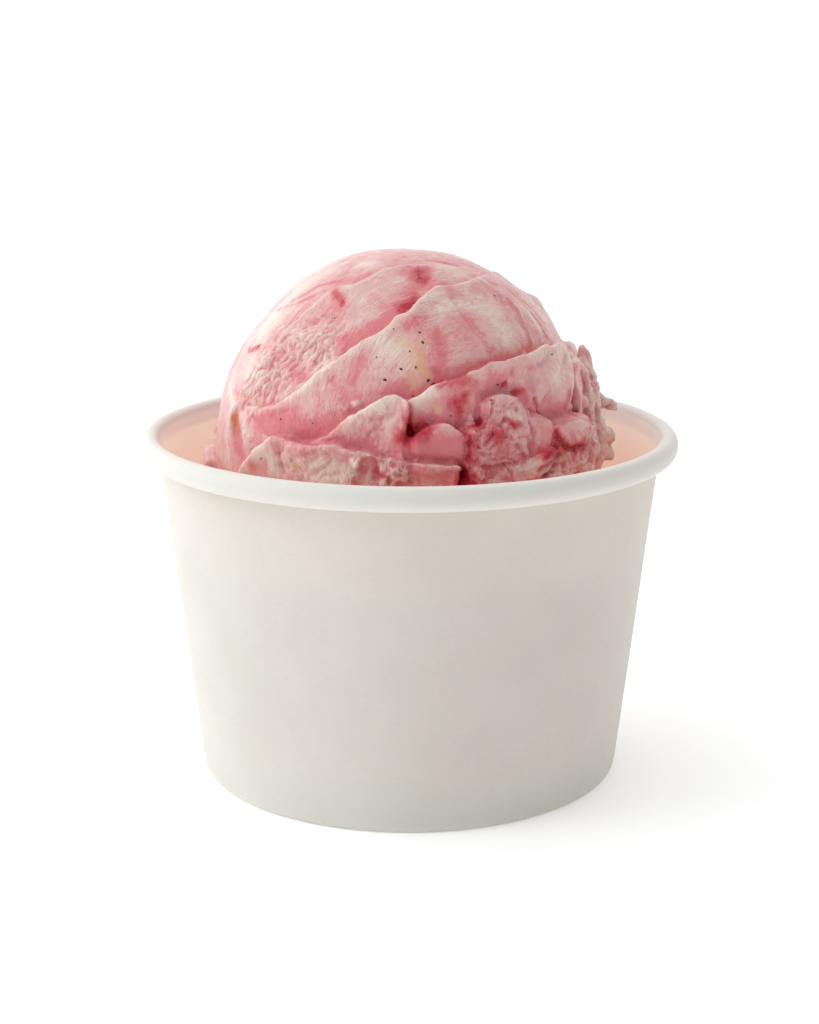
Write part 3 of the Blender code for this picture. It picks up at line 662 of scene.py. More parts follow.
def makeBed():
    level = filling["level"]
    radius = wallRadius(level) - cup["sheet"] - filling["gap"]
    low = wallRadius(6.8) - cup["sheet"] - 0.3
    rings = [(low - 1.2, 6.85), (low - 0.35, 7.2), (low, 8.2)]
    rings += [(low + (radius - low) * (z - 8.2) / 34.8, z) for z in (14, 20, 26, 32, 38, 42, 43.0)]
    rings += [(radius - 0.3, level - 0.2), (radius - 1.0, level + 0.2)]
    rings += [(r, level + 0.2) for r in np.arange(radius - 1.6, 29.0, -0.55)]
    rings += [(r, level) for r in (28.0, 20.0, 10.0, 2.0)]
    piece = drawRings("iceCreamBed", rings, 300)
    bpy.ops.mesh.merge(type="CENTER")
    bpy.ops.object.mode_set(mode="OBJECT")
    pick(piece)
    bpy.ops.object.mode_set(mode="EDIT")
    bpy.ops.mesh.select_all(action="DESELECT")
    bpy.ops.mesh.select_non_manifold()
    bpy.ops.mesh.fill_grid(span=1)
    bpy.ops.object.mode_set(mode="OBJECT")
    points = pointsOf(piece)
    across = np.hypot(points[:, 0], points[:, 1]) / mm
    top = ramp(points[:, 2] / mm, 42.5, 44.0)
    rise = filling["swell"] * waves(points / mm, 8.0, 31) + filling["grain"] * waves(points / mm, 2.6, 32)
    rise += 0.45 * (bumps(points / mm * np.array([1, 1, 0.3]), 2.4, 33) - 0.5)
    rise += filling["bank"] * np.exp(-(((across - filling["bankRadius"]) / 3.0) ** 2))
    points[:, 2] += top * rise * mm
    setPoints(piece, points)
    facesOut(piece)
    piece.data.shade_smooth()
    return piece


class Wire:
    # a shader socket that takes part in sums
    def __init__(self, board, socket):
        self.board = board
        self.socket = socket

    def sum(self, how, first, second):
        return self.board.node("ShaderNodeMath", {"operation": how}, {0: first, 1: second})

    def __add__(self, other):
        return self.sum("ADD", self, other)

    __radd__ = __add__

    def __sub__(self, other):
        return self.sum("SUBTRACT", self, other)

    def __rsub__(self, other):
        return self.sum("SUBTRACT", other, self)

    def __mul__(self, other):
        return self.sum("MULTIPLY", self, other)

    __rmul__ = __mul__

    def least(self, other):
        return self.sum("MINIMUM", self, other)

    def smooth(self, low, high):
        settings = {"interpolation_type": "SMOOTHSTEP"}
        return self.board.node("ShaderNodeMapRange", settings, {"Value": self, "From Min": low, "From Max": high})


class Board:
    # the nodes of one material, or of the world
    def __init__(self, owner, shader="Principled BSDF"):
        owner.use_nodes = True
        self.material = owner
        self.tree = owner.node_tree
        self.shader = self.tree.nodes[shader]

    def node(self, kind, settings=None, inputs=None, out=0):
        made = self.tree.nodes.new(kind)
        for key, value in (settings or {}).items():
            setattr(made, key, value)
        for key, value in (inputs or {}).items():
            self.feed(made.inputs[key], value)
        return Wire(self, made.outputs[out])

    def feed(self, socket, value):
        if isinstance(value, Wire):
            self.tree.links.new(value.socket, socket)
        else:
            socket.default_value = value

    def set(self, **values):
        for name, value in values.items():
            self.feed(self.shader.inputs[name.replace("_", " ")], value)

    def place(self):
        return self.node("ShaderNodeTexCoord", out=3)

    def turned(self, vector, rotation, scale, shift=(0, 0, 0)):
        inputs = {"Vector": vector, "Location": shift, "Rotation": rotation, "Scale": scale}
        return self.node("ShaderNodeMapping", {"vector_type": "POINT"}, inputs)

    def noise(self, vector, scale, detail=2.0, roughness=0.5, distortion=0.0):
        inputs = {"Vector": vector, "Scale": scale, "Detail": detail, "Roughness": roughness, "Distortion": distortion}
        return self.node("ShaderNodeTexNoise", {}, inputs)

    def cells(self, vector, scale, feature="F1"):
        return self.node("ShaderNodeTexVoronoi", {"feature": feature}, {"Vector": vector, "Scale": scale})

    def layer(self, name):
        return self.node("ShaderNodeAttribute", {"attribute_name": name}, out=2)

    def blend(self, mask, first, second, how="MIX", clamp=True):
        # sockets 6 and 7 are the colours of a Mix node, and its third result is the mixed colour
        settings = {"data_type": "RGBA", "blend_type": how, "clamp_factor": clamp}
        first, second = (value if isinstance(value, Wire) else (*value, 1.0) for value in (first, second))
        return self.node("ShaderNodeMix", settings, {0: mask, 6: first, 7: second}, out=2)

    def bump(self, height, strength, distance):
        return self.node("ShaderNodeBump", {}, {"Height": height, "Strength": strength, "Distance": distance})


paper = {
    "white": (0.735, 0.688, 0.615),
    "shade": (0.69, 0.642, 0.57),
    "roll": (0.86, 0.79, 0.70),
    "inside": (0.95, 0.80, 0.70),
    "glow": (0.80, 0.42, 0.28),
    "highGlow": (0.88, 0.80, 0.70),
    "roughness": 0.62,
}


def paperMaterial():
    board = Board(bpy.data.materials.new("coatedPaper"))
    where = board.place()
    # long soft fibres that cross each other, and a fine tooth
    across = board.noise(board.turned(where, (0, 0, 0), (260, 260, 900)), 3.2, 4, 0.6)
    upright = board.noise(board.turned(where, (0, 0, 0), (1100, 1100, 240)), 2.4, 3, 0.6)
    cloud = board.noise(where, 60, 3, 0.55)
    tooth = board.noise(where, 3800, 2, 0.5)
    split = board.node("ShaderNodeSeparateXYZ", {}, {"Vector": where})
    height = Wire(board, split.socket.node.outputs[2])
    radius = board.node("ShaderNodeVectorMath", {"operation": "LENGTH"},
                        {0: board.turned(where, (0, 0, 0), (1, 1, 0))}, out=1)
    # the board's inner side: nearer the axis than the middle of the wall
    slope = wallRadius(1) - wallRadius(0)
    inner = (height * slope + (cup["footRadius"] - cup["sheet"] / 2) * mm - radius).smooth(0.0, 0.00012)
    inner = inner * (1 - height.smooth(0.0600, 0.0618)) * height.smooth(0.0063, 0.0068)
    colour = board.blend((cloud * 0.6 + across * 0.4).smooth(0.35, 0.7), paper["white"], paper["shade"])
    # the roll is painted lighter than the wall: painted light standing in for the light on the roll's top
    colour = board.blend(height.smooth(0.0575, 0.0585), colour, paper["roll"])
    # the inner side is painted warm peach, less of it towards the rim: painted light standing in for light bounced off
    # the ice cream and coming through the board
    colour = board.blend(inner * (1 - height.smooth(0.047, 0.061) * 0.6), colour, paper["inside"])
    board.set(Base_Color=colour, Roughness=(paper["roughness"] - inner * 0.18 + (cloud - 0.5) * 0.12))
    lift = board.bump(across * 0.5 + upright * 0.3 + tooth * 0.35, 0.16, 0.00018)
    board.set(Normal=lift, IOR=1.48, Specular_IOR_Level=0.38)
    # light that comes through the board warms its inner side
    glow = board.blend(height.smooth(0.047, 0.061), paper["glow"], paper["highGlow"])
    board.set(Emission_Color=board.blend(inner, (0.0, 0.0, 0.0), glow), Emission_Strength=0.24)
    board.set(Subsurface_Weight=0.4, Subsurface_Scale=0.0025, Subsurface_Radius=(1.0, 0.75, 0.60))
    return board.material


# Where each kind of ripple shows: half width in degrees, amount, then azimuth and elevation along a line
# Several pink and berry strokes follow the crease lines and darken them: ripple colour together with painted shade
# along the creases.
ripples = {
    "berry": [
        (1.7, 0.9, -37, 55, -32, 53), (0.9, 1.1, -31, 52, -30, 52), (1, 1.2, -72, 31, -67, 32, -63, 33),
        (3, 1.2, -1, 51, 1, 53, 6, 55), (2.2, 0.9, 1, 52, 5, 55), (2.2, 0.45, -31, 12, -30, 11),
        (1.7, 0.35, -42, 15, -39, 14), (1.7, 0.4, -8, 6, -8, 3), (1.3, 0.7, -7, 3, -5, 2), (3.9, 0.75, 10, 68, 11, 63),
        (2.2, 0.5, 16, 67, 15, 63), (0.9, 1.3, 9, 68.5, 11, 64), (1, 1.4, -4, 50, 0, 51.5, 3, 53.5),
        (0.8, 1.3, 15.5, 20.5, 16.6, 17), (0.7, 1.5, -68, 32, -65.5, 32.5), (0.7, 1.5, -31.4, 52.2, -30.2, 51),
        (2.6, 1.2, 0, 52, 3, 54, 6, 55), (2.6, 0.45, 4, 44, 4, 42), (1.7, 0.6, 11, 41, 12, 37, 12, 33),
        (2.2, 0.45, 10, 30, 11, 28), (2.6, 0.75, 11, 25, 16, 25, 19, 24), (2.2, 1, 17, 21, 17, 19),
        (3.5, 1, 15, 19, 16, 17), (2.6, 0.6, 34, 26, 37, 24), (1.3, 0.9, 35, 22, 38, 22), (0.9, 1.1, 30, 24, 31, 24),
        (0.9, 0.9, 42, 19, 43, 17, 47, 13), (0.9, 0.7, 40, 16, 45, 14, 47, 12), (2.2, 0.8, 19, 14, 23, 14),
        (2.6, 1.2, 24, 11, 25, 10), (1.7, 0.9, 26, 12, 27, 11), (2.2, 0.6, 19, 10, 19, 9), (1.3, 0.9, 30, 13, 32, 13),
        (1.3, 0.7, 33, 20, 36, 19, 38, 16), (1.7, 0.7, 32, 4, 39, 5), (2.2, 1, 44, 7, 46, 6),
        (2.6, 1.1, 53, 3, 55, 4, 58, 3), (2.2, 0.5, 6, 10, 7, 9), (2.6, 1.5, 15, 1, 17, -2),
        (3.5, 1.3, 1, 12, 3, 13, 4, 13), (2.2, 0.8, 1, 17, 1, 15), (1.7, 0.8, 17, 11, 18, 8, 18, 5),
        (1.6, 1.6, 38.4, 5, 41.6, 5.6, 44, 6.2),
        (1.5, 1.5, 45.2, 8, 46.4, 6.7, 48, 5.1, 50.8, 3.8, 54.9, 3.6, 59.7, 2.7), (5.8, 0.9, 136, 20, 146, 24),
        (4.3, 0.8, 168, 46, 176, 41, 186, 42), (5.8, 0.9, 204, 21, 212, 16), (4.3, 0.7, 226, 40, 234, 36),
        (4.3, 0.9, 116, 14, 121, 10), (5.8, 0.8, 184, 8, 192, 5), (4.3, 0.8, 246, 24, 250, 19),
        (4.3, 0.9, 154, 6, 160, 3), (2.9, 0.8, -96, 40, -92, 44),
    ],
    "pink": [
        (8, 0.35, -8, 80, 50, 76), (1.2, 0.55, -66, 50, -61, 54, -58, 59, -46, 62),
        (0.9, 0.5, -72, 46, -59, 50, -53, 54), (0.9, 0.6, -77, 40, -79, 50, -83, 61, -88, 72),
        (1.2, 0.45, -52, 67, -42, 70), (0.9, 0.7, -27, 77, 14, 78), (1.5, 0.6, -44, 61, -37, 64, -29, 68),
        (2.4, 0.6, -38, 56, -31, 51), (1.5, 0.4, -73, 31, -62, 32), (2.4, 0.7, -22, 38, -16, 41, -11, 44, -5, 48),
        (1.8, 0.6, -25, 39, -23, 37), (2.7, 0.7, -4, 51, 6, 59), (0.9, 0.6, -39, 44, -37, 45),
        (2.4, 0.4, -39, 29, -36, 26), (4.8, 0.9, -46, 14, -37, 13, -30, 11), (3.6, 0.5, -30, 13, -24, 14, -19, 16),
        (2.1, 0.6, -14, 32, -15, 30, -16, 27), (2.4, 0.4, -22, 26, -18, 22), (2.7, 0.6, -26, 8, -18, 9, -12, 9),
        (1.8, 0.8, -44, 1, -40, 1), (1.8, 0.6, -24, 7, -19, 8, -15, 7), (1.5, 0.5, -62, 4, -55, 1),
        (3.6, 0.7, 6, 66, 10, 60), (0.9, 0.6, 34, 78, 55, 75, 67, 70, 79, 65), (0.9, 0.5, -7, 77, 20, 78, 37, 77),
        (1.8, 0.5, 22, 59, 22, 54), (2.4, 0.6, 2, 43, 6, 44), (2.1, 0.6, 12, 42, 12, 36, 11, 29),
        (4.2, 0.4, 18, 45, 23, 42), (0.9, 0.6, 27, 44, 30, 40, 32, 35), (0.9, 0.5, 29, 39, 30, 34),
        (1.2, 0.9, 51, 49, 52, 44, 50, 38, 50, 35), (0.8, 0.6, 70, 58, 66, 51, 65, 44, 63, 36),
        (0.8, 0.5, 76, 55, 71, 47, 70, 40), (1.8, 0.5, 21, 29, 29, 31, 39, 32), (2.4, 0.5, -1, 26, 1, 24),
        (2.4, 0.6, 12, 23, 19, 24, 23, 22), (2.4, 0.5, 24, 26, 29, 26), (1.2, 0.8, 58, 19, 56, 14),
        (2.4, 0.5, 50, 19, 52, 15), (3.6, 0.5, 25, 15, 29, 13), (2.4, 0.4, 38, 6, 42, 5), (3, 0.6, 52, 7, 61, 6),
        (2.5, 0.6, 60, 6, 64, 1), (4.2, 0.8, 4, 8, 11, 9), (3, 0.8, 5, 3, 12, 2), (2.4, 0.4, 0, 4, 1, 1),
        (2.4, 0.5, 69, 25, 76, 20), (4, 0.7, 24, 15, 27, 8, 24, 3), (8, 0.5, 120, 12, 150, 8, 180, 10, 210, 14),
        (3, 0.7, 130, 44, 160, 34, 190, 29, 220, 31), (2, 0.6, 110, 64, 140, 54, 170, 45, 200, 40),
        (2, 0.6, 100, 50, 124, 40, 148, 31), (1.5, 0.6, -100, 60, -110, 44, -112, 28),
        (1.5, 0.6, -90, 50, -98, 36, -98, 22), (5, 0.5, -86, 6, -104, 4, -120, 8), (4, 0.5, 170, 66, 200, 58, 230, 54),
    ],
    "cream": [
        (4, 0.9, -40, 2, -30, 3, -22, 3, -14, 3), (6, 0.55, 76, 24, 82, 16, 84, 2), (5, 0.45, 24, 4, 31, 7, 30, 15),
        (7, 0.8, -80, 60, -66, 34, -60, 24), (5, 0.5, 58, 9, 63, 3, 72, -2), (4, 0.5, -52, 24, -42, 27),
        (3.5, 0.6, -52, 17, -45, 18, -38, 21.5, -31, 26, -26, 30.5), (2.7, 0.6, -51, 73, -32, 74),
        (4.8, 0.6, -42, 38, -32, 35, -36, 32), (4.2, 0.5, -64, 28, -51, 26), (1.8, 0.9, -37, 22, -30, 27, -25, 32),
        (1.5, 0.7, -45, 18, -37, 21), (3.6, 0.6, -7, 35, -1, 36), (3.6, 0.4, -13, 19, -6, 18),
        (1.8, 0.9, -43, 7, -38, 4), (1.5, 0.9, -36, 3, -36, 0), (1.2, 0.8, -33, 4, -32, 1), (3, 0.7, -21, 4, -15, 4),
        (2.4, 0.4, -12, 5, -10, 4), (1.5, 0.3, -5, 5, -3, 5), (2.1, 0.2, -2, 3, 0, 3), (2.1, 0.9, -72, 18, -65, 15),
        (2.4, 0.5, -56, 12, -52, 8), (1.5, 0.5, -67, 5, -63, 0), (2.7, 0.4, 28, 67, 36, 66), (3, 0.7, 13, 50, 14, 47),
        (6, 0.6, 33, 49, 39, 44, 38, 38), (3.6, 0.5, 20, 49, 26, 49), (0.9, 0.7, 66, 50, 61, 42, 59, 36),
        (1.2, 0.5, 84, 46, 70, 39, 68, 35), (2.1, 0.5, 0, 32, 4, 29), (2.7, 0.9, 4, 20, 7, 22, 9, 24),
        (3, 0.8, 54, 24, 59, 27, 70, 31), (1.8, 0.6, 60, 24, 59, 20), (2.4, 0.5, 26, 17, 30, 17),
        (2.7, 0.5, 24, 6, 28, 7), (1.5, 0.4, 30, 0, 40, 1), (0.9, 0.5, 2, 5, 7, 5, 14, 3), (1.5, 0.5, 76, 17, 73, 12),
        (1.5, 0.5, 66, 12, 66, 11), (1.5, 1, 27, 1.4, 33, 2.2, 38, 3.6, 41, 5),
        (5, 0.8, 128, 50, 160, 41, 190, 36, 220, 38), (4, 0.7, 106, 30, 134, 19, 170, 20, 200, 13),
        (8, 0.6, 150, 64, 200, 70), (6, 0.5, -110, 36, -120, 54),
    ],
    "ochre": [
        (2.1, 0.35, -45, 74, -27, 74), (2.4, 0.4, -10, 64, -4, 62), (2.4, 0.3, -20, 50, -15, 52),
        (1, 1, -52, 18, -51, 17), (2.7, 0.6, -1, 35, 3, 33), (2.4, 0.6, 1, 29, 3, 25), (2.1, 0.35, -13, 18, -7, 18),
        (1.2, 1.3, -30, 3, -29, 2), (1.8, 0.9, -62.4, 12, -61, 9), (3, 0.8, -1, 37, 3, 36, 5, 34),
        (2.4, 0.9, 4, 31, 7, 29), (2.4, 0.5, 5, 19, 9, 20), (0.8, 1.4, 10, 19, 10, 18), (2.7, 0.5, 40, 11, 41, 7),
        (4, 0.6, 176, 30, 184, 27), (4, 0.5, 126, 39, 132, 36), (3, 0.7, 228, 12, 236, 14),
    ],
    "plum": [
        (2.4, 0.5, -9, 27, -4, 29), (3, 0.3, -15, 44, -5, 38), (1.2, 0.7, 52, 45, 50, 41, 50, 37),
        (2.7, 0.9, 13, 19, 16, 15, 20, 15), (2.4, 0.6, 28, 23, 34, 22), (1.8, 0.6, 41, 26, 42, 22),
        (0.9, 0.8, 45, 28, 50, 29, 52, 30), (1.5, 1, 18, 14, 21, 15, 23, 16), (4, 0.7, 206, 26, 216, 24),
        (3, 0.7, 144, 16, 152, 17),
    ],
    "orange": [
        (4, 0.35, 80, 24, 84, 8), (1.6, 1.3, -62, 10.6, -60.4, 8), (1.2, 0.5, -67, 6, -61, 2),
        (1.2, 0.4, 65, 35, 74, 34), (1.8, 0.9, 44, 7, 47, 5), (2.4, 0.6, 48, 5, 56, 3), (1.8, 0.4, 79, 21, 87, 13),
        (2.2, 1, 45, 8.4, 47, 6.4), (3, 0.7, 160, 8, 166, 10), (3, 0.6, 236, 4, 242, 6),
    ],
}
seeds = [
    (-6, 27, 1), (-1.2, 30, 0.9), (1.6, 35, 0.5), (-38, 14, 0.5), (-27, 14, 0.4), (5.2, 40.4, 0.7), (6, 37.6, 0.9),
    (3.4, 30.6, 0.7), (7.2, 27.2, 1.1), (8.8, 26.2, 1.3), (29, 24.6, 0.7), (34, 22.4, 0.6), (2.4, 23, 0.5),
    (52, 30, 0.6), (-41, 3, 0.5), (-4, 41, 0.4), (-9, 33, 0.4), (13, 17, 0.6), (24, 20, 0.5), (45, 52, 0.5),
    (-30, 46, 0.4), (166, 40, 0.9), (172, 46, 0.7), (176, 41, 0.7), (203, 20, 0.9), (138, 24, 0.9), (143, 20, 0.6),
    (230, 36, 0.8),
]


def makeSeeds(ball):
    # berry seeds, half sunk where a line from the ball's middle comes out of its skin
    group = []
    middle = Vector(scoop["centre"]) * mm
    for number, (azimuth, elevation, size) in enumerate(seeds):
        way = Vector(toWay(azimuth, elevation))
        hit, place, _, _ = ball.ray_cast(middle + way * 50 * mm, -way)
        if hit:
            spot = np.array((place - middle) / mm) - np.array(way) * 0.08 * size
            long = 0.50 * size + 0.12
            group.append(addLump((long, 0.72 * long, 0.6 * long), 37 * number, way, spot, 0.2, 300 + number, 3))
    joined = joinAll(group, "iceCreamSeeds")
    joined.data.shade_smooth()
    return joined


def hollows(piece, rounds):
    # how far each point lies below the mean of its surroundings, in mm
    points = pointsOf(piece) / mm
    edges = np.empty(len(piece.data.edges) * 2, np.int32)
    piece.data.edges.foreach_get("vertices", edges)
    start, end = edges.reshape(-1, 2).T
    count = np.bincount(start, minlength=len(points)) + np.bincount(end, minlength=len(points))
    mean = points.copy()
    for _ in range(rounds):
        for axis in range(3):
            near = np.bincount(start, mean[end, axis], len(points)) + np.bincount(end, mean[start, axis], len(points))
            mean[:, axis] = near / np.maximum(count, 1)
    return np.einsum("ij,ij->i", mean - points, pointsOf(piece, "normal"))


def paintLayers(piece):
    # where each kind of ripple lies, and where painted highlights and painted shade go, kept on the points for the
    # material
    points = pointsOf(piece) / mm - np.array(scoop["centre"])
    ways = points / np.linalg.norm(points, axis=1)[:, None]
    places = ways * scoop["radius"]
    stray = [0.020 * waves(places, 4.2, seed) + 0.012 * waves(places, 1.6, seed + 5) for seed in (51, 52, 53)]
    strayed = ways + np.stack(stray, axis=1)
    strayed /= np.linalg.norm(strayed, axis=1)[:, None]
    layers = {name: np.zeros(len(ways)) for name in (*ripples, "lipHighlight", "grooveShade", "grooveShadowLine")}
    for kind, strokes in ripples.items():
        for width, amount, *line in strokes:
            layers[kind] = np.maximum(layers[kind], amount * lineMask(strayed, pairsOf(line), width))
    wiggle = 0.34 * waves(places, 3.2, 1) + 0.17 * waves(places, 1.3, 2)
    for fold in folds:
        distance, strength, _ = readFold(ways, fold, wiggle)
        # the crest of each lip is painted lighter, a painted highlight
        edge = strength * ramp(distance, -0.9, -0.5) * np.exp(-np.maximum(distance, 0) / 2.4)
        layers["lipHighlight"] = np.maximum(layers["lipHighlight"], fold["lipHighlight"] * edge)
        # the groove under each lip is painted pinker, painted shade
        crease = strength * ramp(-distance, 0.6, 1.1) * np.exp(np.minimum(distance + 0.6, 0) / 1.8)
        layers["grooveShade"] = np.maximum(layers["grooveShade"], min(1.0, fold["groove"]) * crease)
        # a thin line in that groove is painted dark red, a painted shadow line
        grooveShadowLine = strength * np.exp(-(((distance + 0.62) / 0.30) ** 2))
        layers["grooveShadowLine"] = np.maximum(layers["grooveShadowLine"], min(1.0, 1.2 * fold["groove"]) * grooveShadowLine)
    layers["torn"] = np.maximum(placesMask(ways, crumblyPlaces), 0.6 * placesMask(ways, crinkledPlaces))
    layers["wetGlint"] = placesMask(ways, wetGlintPlaces)
    # painted shade in hollows and small pits, and painted light on raised places, from how far each point lies below
    # or above its surroundings
    layers["hollowShade"] = hollows(piece, 14) * 2.5
    layers["raisedLight"] = -hollows(piece, 14) * 2.5
    layers["pitShade"] = hollows(piece, 2) * 9.0
    for name, values in layers.items():
        keepLayer(piece, name, np.clip(values, 0.0, 2.0))


def paintBed(piece):
    # the bed's ripple lies in wide soft bands
    points = pointsOf(piece) / mm
    bands = waves(points, 9, 61) + 0.5 * waves(points, 4, 62)
    for name, values in (("cream", 0.75 + 0.5 * bands), ("pink", 0.5 - 1.6 * bands), ("berry", -1.1 - 2.2 * bands)):
        keepLayer(piece, name, np.clip(values, 0.0, 1.0))


iceCream = {
    "cream": (0.86, 0.715, 0.625),
    "blush": (0.80, 0.47, 0.445),
    "pink": (0.755, 0.23, 0.25),
    "red": (0.58, 0.030, 0.050),
    "berry": (0.40, 0.010, 0.028),
    "ochre": (0.80, 0.44, 0.26),
    "plum": (0.56, 0.27, 0.34),
    "orange": (0.72, 0.20, 0.10),
    "glintWhite": (0.97, 0.93, 0.90),
    "roughness": 0.42,
}


def iceCreamMaterial():
    board = Board(bpy.data.materials.new("berryRipple"))
    where = board.place()
    # streaks run round the axis that the ball was rolled about
    axis = Vector(toWay(*scoop["rolledAbout"]))
    turn = axis.to_track_quat("Z", "Y").inverted().to_euler()
    centred = board.turned(where, (0, 0, 0), (1, 1, 1), tuple(-c * mm for c in scoop["centre"]))
    rolled = board.turned(centred, tuple(turn), (1, 1, 1))
    warp = board.noise(where, 90, 2, 0.5)
    streaks = board.noise(board.turned(rolled, (0, 0, 0), (80, 80, 420)), 1.0, 3, 0.62, 0.9)
    fineStreaks = board.noise(board.turned(rolled, (0, 0, 0), (160, 160, 1500)), 1.0, 3, 0.6, 0.5)
    swirl = board.noise(where, 110, 3, 0.6, 1.4)
    mottle = board.noise(where, 420, 3, 0.6, 0.6)
    grain = board.noise(where, 1500, 3, 0.6)

    names = ("berry", "pink", "ochre", "cream", "plum", "orange", "lipHighlight", "grooveShade", "grooveShadowLine", "torn", "hollowShade",
             "raisedLight", "pitShade", "wetGlint")
    layers = {name: board.layer(name) for name in names}
    # pinkness: streaks and ripple strokes; lip crests paler as a painted highlight, raised places paler as painted
    # light, grooves, hollows and pits pinker as painted shade
    rosy = streaks * 0.55 + swirl * 0.75 + fineStreaks * 0.3 + layers["pink"] * 0.6 - layers["cream"] * 0.42
    rosy = rosy - layers["lipHighlight"] * (swirl * 0.5) + layers["grooveShade"] * 0.34 + (mottle - 0.5) * 0.40 + 0.12
    rosy = rosy + layers["hollowShade"] * 0.40 - layers["raisedLight"] * 0.10 + layers["pitShade"] * (0.18 + layers["torn"] * 0.10)
    threads = board.noise(board.turned(rolled, (0, 0, 0), (340, 340, 2600)), 1.0, 3, 0.65, 1.6)
    rosy = rosy + (threads - 0.5) * 0.6 + (grain - 0.5) * 0.42
    colour = board.blend(rosy.smooth(0.42, 0.92), iceCream["cream"], iceCream["blush"])
    colour = board.blend((rosy + warp * 0.2).smooth(0.90, 1.42) * 0.95, colour, iceCream["pink"])
    # the painted highlight on the lip crests also takes ochre away
    ochre = (layers["ochre"] * (0.45 + swirl * 1.1) - layers["lipHighlight"] * 0.2).smooth(0.22, 0.95)
    colour = board.blend(ochre * 0.75, colour, iceCream["ochre"])
    plum = (layers["plum"] * (0.4 + mottle * 1.1)).smooth(0.2, 0.9)
    colour = board.blend(plum * 0.75, colour, iceCream["plum"])
    orange = (layers["orange"] * (0.4 + swirl * 1.1)).smooth(0.2, 0.9)
    colour = board.blend(orange * 0.8, colour, iceCream["orange"])
    feather = (mottle - 0.5) * 1.3 + (swirl - 0.5) * 1.5 + (threads - 0.5) * 1.2
    # redness: the berry ripple, with the groove's thin line and the hollows and pits of torn places painted redder as
    # painted shade
    red = layers["berry"] * (0.90 + feather * 0.55) - 0.04 + layers["berry"].least(0.4) * feather * 0.6
    red = red + layers["grooveShadowLine"] * (0.30 + swirl * 0.45) + layers["hollowShade"] * layers["torn"] * 0.12
    red = red + layers["pitShade"] * layers["torn"] * 0.10
    colour = board.blend(red.smooth(0.0, 0.65) * 0.85, colour, iceCream["pink"])
    colour = board.blend(red.smooth(0.25, 1.05) * 0.95, colour, iceCream["red"])
    colour = board.blend(red.smooth(0.80, 1.30) * 0.8, colour, iceCream["berry"])

    # tiny bubbles: a few everywhere, many where it is wet, with a bright rim; they are painted near white as painted
    # glints, and are glossier and bumped
    cells = board.cells(where, 1500)
    bubbleGlints = 1 - cells.smooth(0.12, 0.34)
    bubbleGlints = bubbleGlints * (board.noise(where, 240, 1, 0.5) + layers["wetGlint"] * 0.22).smooth(0.60, 0.68)
    colour = board.blend(bubbleGlints * (0.25 + layers["wetGlint"] * 0.5).least(0.8), colour, iceCream["glintWhite"])

    tornness = layers["torn"].least(1.0)
    long = board.turned(where, (0.5, 0.5, 0.3), (1700, 1700, 800))
    wrinkles = board.cells(long, 1.0, "DISTANCE_TO_EDGE").smooth(0.0, 0.35)
    height = fineStreaks * 0.35 + threads * 0.55 + mottle * (0.5 + tornness * 0.9) + grain * 0.35 + bubbleGlints * 0.5
    height = height + wrinkles * tornness * 0.3
    lift = board.bump(height, 0.85, 0.0005)
    gloss = iceCream["roughness"] + (mottle - 0.5) * 0.3 + tornness * 0.06
    gloss = gloss - red.smooth(0.4, 0.9) * 0.12 - bubbleGlints * 0.25
    board.set(Base_Color=colour, Roughness=gloss, Normal=lift)
    board.set(IOR=1.36, Specular_IOR_Level=0.5, Coat_Weight=0.22, Coat_Roughness=0.16)
    board.set(Subsurface_Weight=0.38, Subsurface_Scale=0.0009, Subsurface_Radius=(1.0, 0.40, 0.34))
    return board.material


seedColours = {"dark": (0.050, 0.010, 0.012), "brown": (0.20, 0.045, 0.035)}


def seedMaterial():
    board = Board(bpy.data.materials.new("berrySeeds"))
    grain = board.noise(board.place(), 3600, 3, 0.6)
    colour = board.blend(grain.smooth(0.45, 0.75), seedColours["dark"], seedColours["brown"])
    board.set(Base_Color=colour, Roughness=grain * 0.3 + 0.25, Normal=board.bump(grain, 0.5, 0.0001))
    return board.material


def finish(piece, material, node=None):
    piece.data.materials.clear()
    piece.data.materials.append(material)
    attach(piece, "root")
    if node:
        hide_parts(node)


studio = {
    "left": (0.98, 1.05, 1.07),
    "right": (0.20, 0.175, 0.17),
    "back": (1.05, 1.05, 1.05),
    "top": (0.66, 0.67, 0.68),
    "keyPower": 0.62,
    "fillPower": 0.3,
}


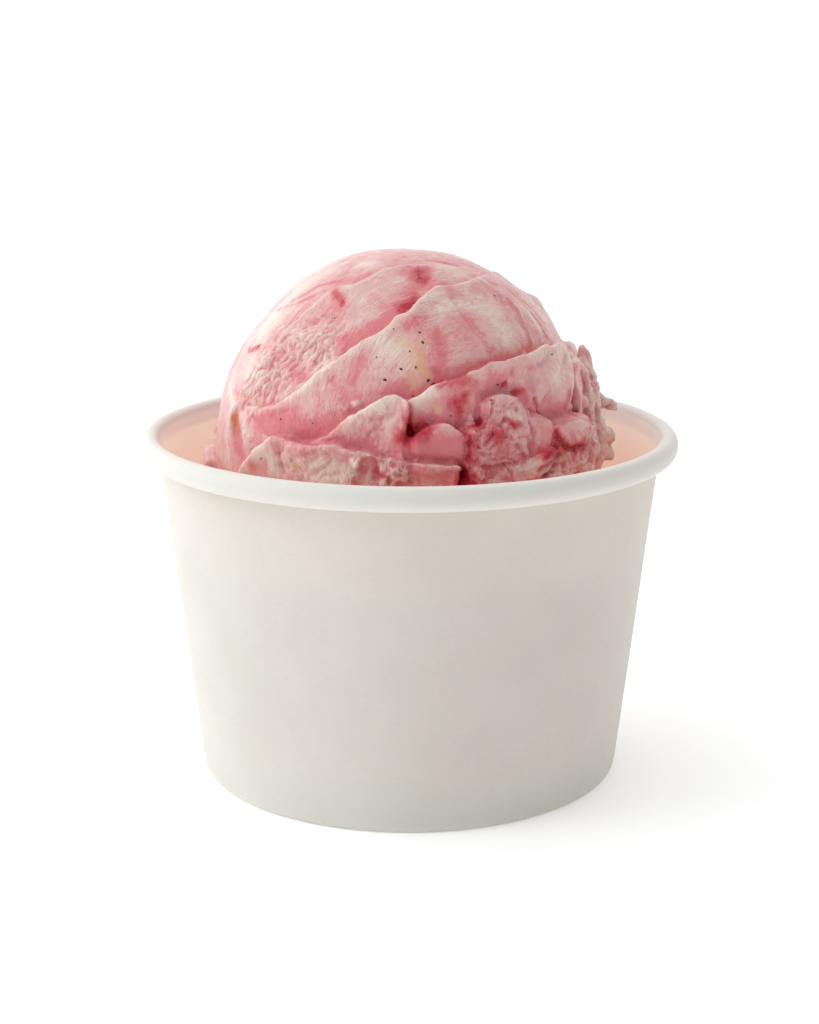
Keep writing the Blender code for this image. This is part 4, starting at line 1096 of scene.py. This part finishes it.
def areaLight(name, place, size, power):
    deselectAll()
    bpy.ops.object.light_add(type="AREA", location=place)
    lamp = bpy.context.object
    lamp.name = name
    lamp.data.shape = "RECTANGLE"
    lamp.data.size = lamp.data.size_y = size
    lamp.data.energy = power
    lamp.rotation_euler = (Vector((0, 0, 0.05)) - Vector(place)).to_track_quat("-Z", "Y").to_euler()


def makeStudio():
    deselectAll()
    bpy.ops.mesh.primitive_plane_add(size=12, location=(0, 0, -0.00002))
    floor = bpy.context.object
    floor.name = "paleFloor"
    bpy.ops.object.transform_apply(location=True, rotation=True, scale=True)
    board = Board(bpy.data.materials.new("paleFloor"))
    board.set(Base_Color=(0.95, 0.95, 0.95, 1.0), Roughness=0.8)
    board.set(Emission_Color=(1.0, 1.0, 1.0, 1.0), Emission_Strength=0.20)
    floor.data.materials.append(board.material)
    # a white tent that is darker on the camera's side
    world = bpy.data.worlds.new("studio")
    bpy.context.scene.world = world
    tent = Board(world, "Background")
    split = tent.node("ShaderNodeSeparateXYZ", {}, {"Vector": tent.node("ShaderNodeTexCoord")})
    x, y, z = (Wire(tent, socket) for socket in split.socket.node.outputs)
    reach = {"left": (0.0 - x).smooth(-0.25, 0.9), "right": x.smooth(-0.1, 1.0)}
    reach.update(top=z.smooth(0.1, 1.0), back=y.smooth(-0.4, 0.6) * (1 - z.smooth(0.20, 0.55) * 0.8))
    colour = None
    for side, share in reach.items():
        part = tent.blend(share, (0.0, 0.0, 0.0), studio[side])
        colour = part if colour is None else tent.blend(1.0, colour, part, "ADD", False)
    tent.set(Color=colour, Strength=1.0)
    areaLight("key", (-0.42, -0.16, 0.46), 0.22, studio["keyPower"])
    areaLight("fill", (0.15, 0.42, 0.46), 0.4, studio["fillPower"])
    bpy.context.scene.view_settings.view_transform = "Standard"


coated = paperMaterial()
ripple = iceCreamMaterial()
finish(makeCupWall(), coated, "cup_wall")
print("cup wall rolled")
finish(makeCupBase(), coated, "cup_base")
print("cup bottom set")
ball = makeScoop()
paintLayers(ball)
finish(ball, ripple, "ice_cream")
finish(makeSeeds(ball), seedMaterial())
bed = makeBed()
paintLayers(bed)
paintBed(bed)
finish(bed, ripple, "ice_cream")
print("bed filled")
makeStudio()
print("studio lit")
